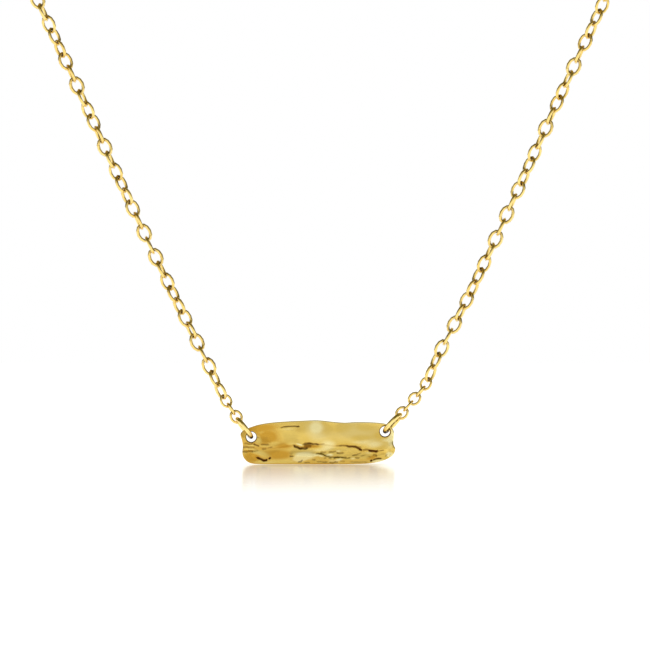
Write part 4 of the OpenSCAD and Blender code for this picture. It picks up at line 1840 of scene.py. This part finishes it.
@dataclass(frozen=True)
class Softbox:
    """A soft round patch of light on the studio's dome.

    Attributes:
        way: The direction in which it lies, of length 1.
        inner: It has its full light up to this angle from its middle, in degrees.
        outer: It has none from this angle on.
        colour: Its light.
    """

    way: Row
    inner: float
    outer: float
    colour: Row

    def over(self, tree: Tree, light: Any, direction: tuple[Wire, Wire, Wire]) -> Wire:
        """Lays the patch over the light that is there already.

        Args:
            tree: The world's tree.
            light: The light so far.
            direction: The direction's three parts.

        Returns:
            The light with this patch.
        """
        nearness = sum(part * share for part, share in zip(direction, self.way) if share)
        ends = (math.cos(math.radians(angle)) for angle in (self.outer, self.inner))
        return tree.mix(light, self.colour, nearness.smooth(*ends))


@dataclass(frozen=True)
class Studio:
    """The white floor, the soft dome of light and the camera.

    Attributes:
        sizes: The necklace's sizes.
        paper: The floor's finish.
        picture: The picture's side, in pixels.
        pixel: What one pixel is at the bar, in millimetres.
        bar_middle: Where the bar's middle is in the picture, in pixels.
        distance: From the camera to the bar, in millimetres.
        sensor: Width of the camera's sensor, in millimetres.
        floor_gap: From the bar's lowest point down to the floor, in millimetres.
        dim: The dome's light between its softboxes.
        softboxes: The softboxes, in the order in which they are laid over each other.
        floor_side: The floor's side, in millimetres.
        clip: The nearest and the farthest that the camera sees, in millimetres.
    """

    sizes: Sizes
    paper: Paper = Paper()
    picture: int = 650
    pixel: float = 0.129
    bar_middle: Row = (317.9, 442.25)
    distance: float = 600.0
    sensor: float = 36.0
    floor_gap: float = 0.02
    dim: Row = (0.16, 0.14, 0.05)
    softboxes: tuple[Softbox, ...] = (
        Softbox((0.0, -1.0, 0.0), 16.0, 50.0, (0.82, 0.81, 0.78)),
        Softbox((-0.92, -0.4, 0.0), 8.0, 30.0, (0.9, 0.9, 0.85)),
        Softbox((0.92, -0.4, 0.0), 8.0, 30.0, (0.9, 0.9, 0.85)),
        Softbox((0.0, 1.0, 0.0), 20.0, 45.0, (1.2, 1.2, 1.2)))
    floor_side: float = 3000.0
    clip: Row = (10.0, 20000.0)

    def build(self) -> None:
        """Makes the floor, the light and the camera."""
        self._floor()
        self._dome()
        self._camera()

    def _floor(self) -> None:
        """Lays the floor just under the bar."""
        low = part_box("bar")[0]
        half = self.floor_side / 2 * MM
        z = low.z - self.floor_gap * MM
        mesh = bpy.data.meshes.new("floor")
        mesh.from_pydata([(-half, -half, z), (half, -half, z), (half, half, z), (-half, half, z)],
                         [], [(0, 1, 2, 3)])
        mesh.materials.append(self.paper.material(self.sizes.front_y))
        floor = bpy.data.objects.new("floor", mesh)
        bpy.context.scene.collection.objects.link(floor)

    def _dome(self) -> None:
        """Lights the scene from a soft dome, which the camera itself sees as plain white."""
        world = bpy.data.worlds.new("dome")
        world.use_nodes = True
        bpy.context.scene.world = world
        tree = Tree(world.node_tree)
        direction = tree.wire("ShaderNodeTexCoord", output="Generated").parts()
        light = self.dim
        for softbox in self.softboxes:
            light = softbox.over(tree, light, direction)
        seen = tree.wire("ShaderNodeLightPath", output="Is Camera Ray")
        colour = tree.mix(light, WHITE, seen)
        background = tree.wire("ShaderNodeBackground", inputs={"Color": colour, "Strength": 1.0})
        tree.add("ShaderNodeOutputWorld", inputs={"Surface": background})

    def _camera(self) -> None:
        """Sets the camera level, square to the bar, where the picture was taken from."""
        lens = bpy.data.cameras.new("camera")
        lens.sensor_width = self.sensor
        lens.lens = self.sensor * self.distance / (self.picture * self.pixel)
        lens.clip_start, lens.clip_end = (reach * MM for reach in self.clip)
        camera = bpy.data.objects.new("camera", lens)
        bpy.context.scene.collection.objects.link(camera)
        x = (self.picture / 2 - self.bar_middle[0]) * self.pixel
        z = (self.bar_middle[1] - self.picture / 2) * self.pixel - self.sizes.neck_drop
        camera.location = Vector((x, self.sizes.front_y - self.distance, z)) * MM
        camera.rotation_euler = (math.pi / 2, 0.0, 0.0)
        bpy.context.scene.camera = camera
        bpy.context.scene.view_settings.view_transform = "Standard"


def corners(box: Iterable[Vector]) -> list[list[float]]:
    """A box's corners as plain lists."""
    return [[float(part) for part in corner] for corner in box]


# The chosen points of the two arms' routes. Rows are (across, up, back), in shares.
LEFT_ROUTE = (
    (0.055, 0.039, 0), (0.117, 0.099, 0), (0.194, 0.173, 0), (0.343, 0.322, 0), (0.485, 0.471, 0),
    (0.626, 0.618, 0), (0.769, 0.764, 0), (0.892, 0.883, 0.08), (0.968, 0.962, 0.4), (1, 1, 1))
RIGHT_ROUTE = (
    (0.06, 0.032, 0), (0.095, 0.052, 0), (0.132, 0.092, 0), (0.212, 0.166, 0), (0.36, 0.317, 0),
    (0.501, 0.467, 0), (0.644, 0.615, 0), (0.783, 0.762, 0), (0.898, 0.882, 0.08),
    (0.97, 0.962, 0.4), (1, 1, 1))


def main() -> None:
    """Builds the necklace and its studio."""
    logging.basicConfig(level=logging.INFO, format="%(name)s: %(message)s")
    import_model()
    sizes = Sizes()
    left = Arm(Side.LEFT, sizes, inset=1.4, drop=2.15, lean=38.0, turn=7.0, small_links=3,
               points=LEFT_ROUTE)
    right = Arm(Side.RIGHT, sizes, inset=sizes.bar_length - 1.35, drop=1.45, lean=43.0, turn=11.0,
                small_links=5, points=RIGHT_ROUTE)
    holes = (left.hole_middle, right.hole_middle)
    Bar(sizes, HammeredGold("hammered_gold", coat=0.2), holes).build()
    link_gold = ShadePaintedGold("link_gold", tone=(0.97, 0.74, 0.26), deep=(0.88, 0.6, 0.14),
                              coat=0.15)
    ring_gold = replace(link_gold, name="ring_gold", tone=(1.0, 0.8, 0.32),
                        deep=(0.95, 0.7, 0.2))
    Chain((left, right), link_gold, ring_gold).build()
    Clasp(sizes, Gold("clasp_gold")).build()
    Studio(sizes).build()


if __name__ == "__main__":
    main()
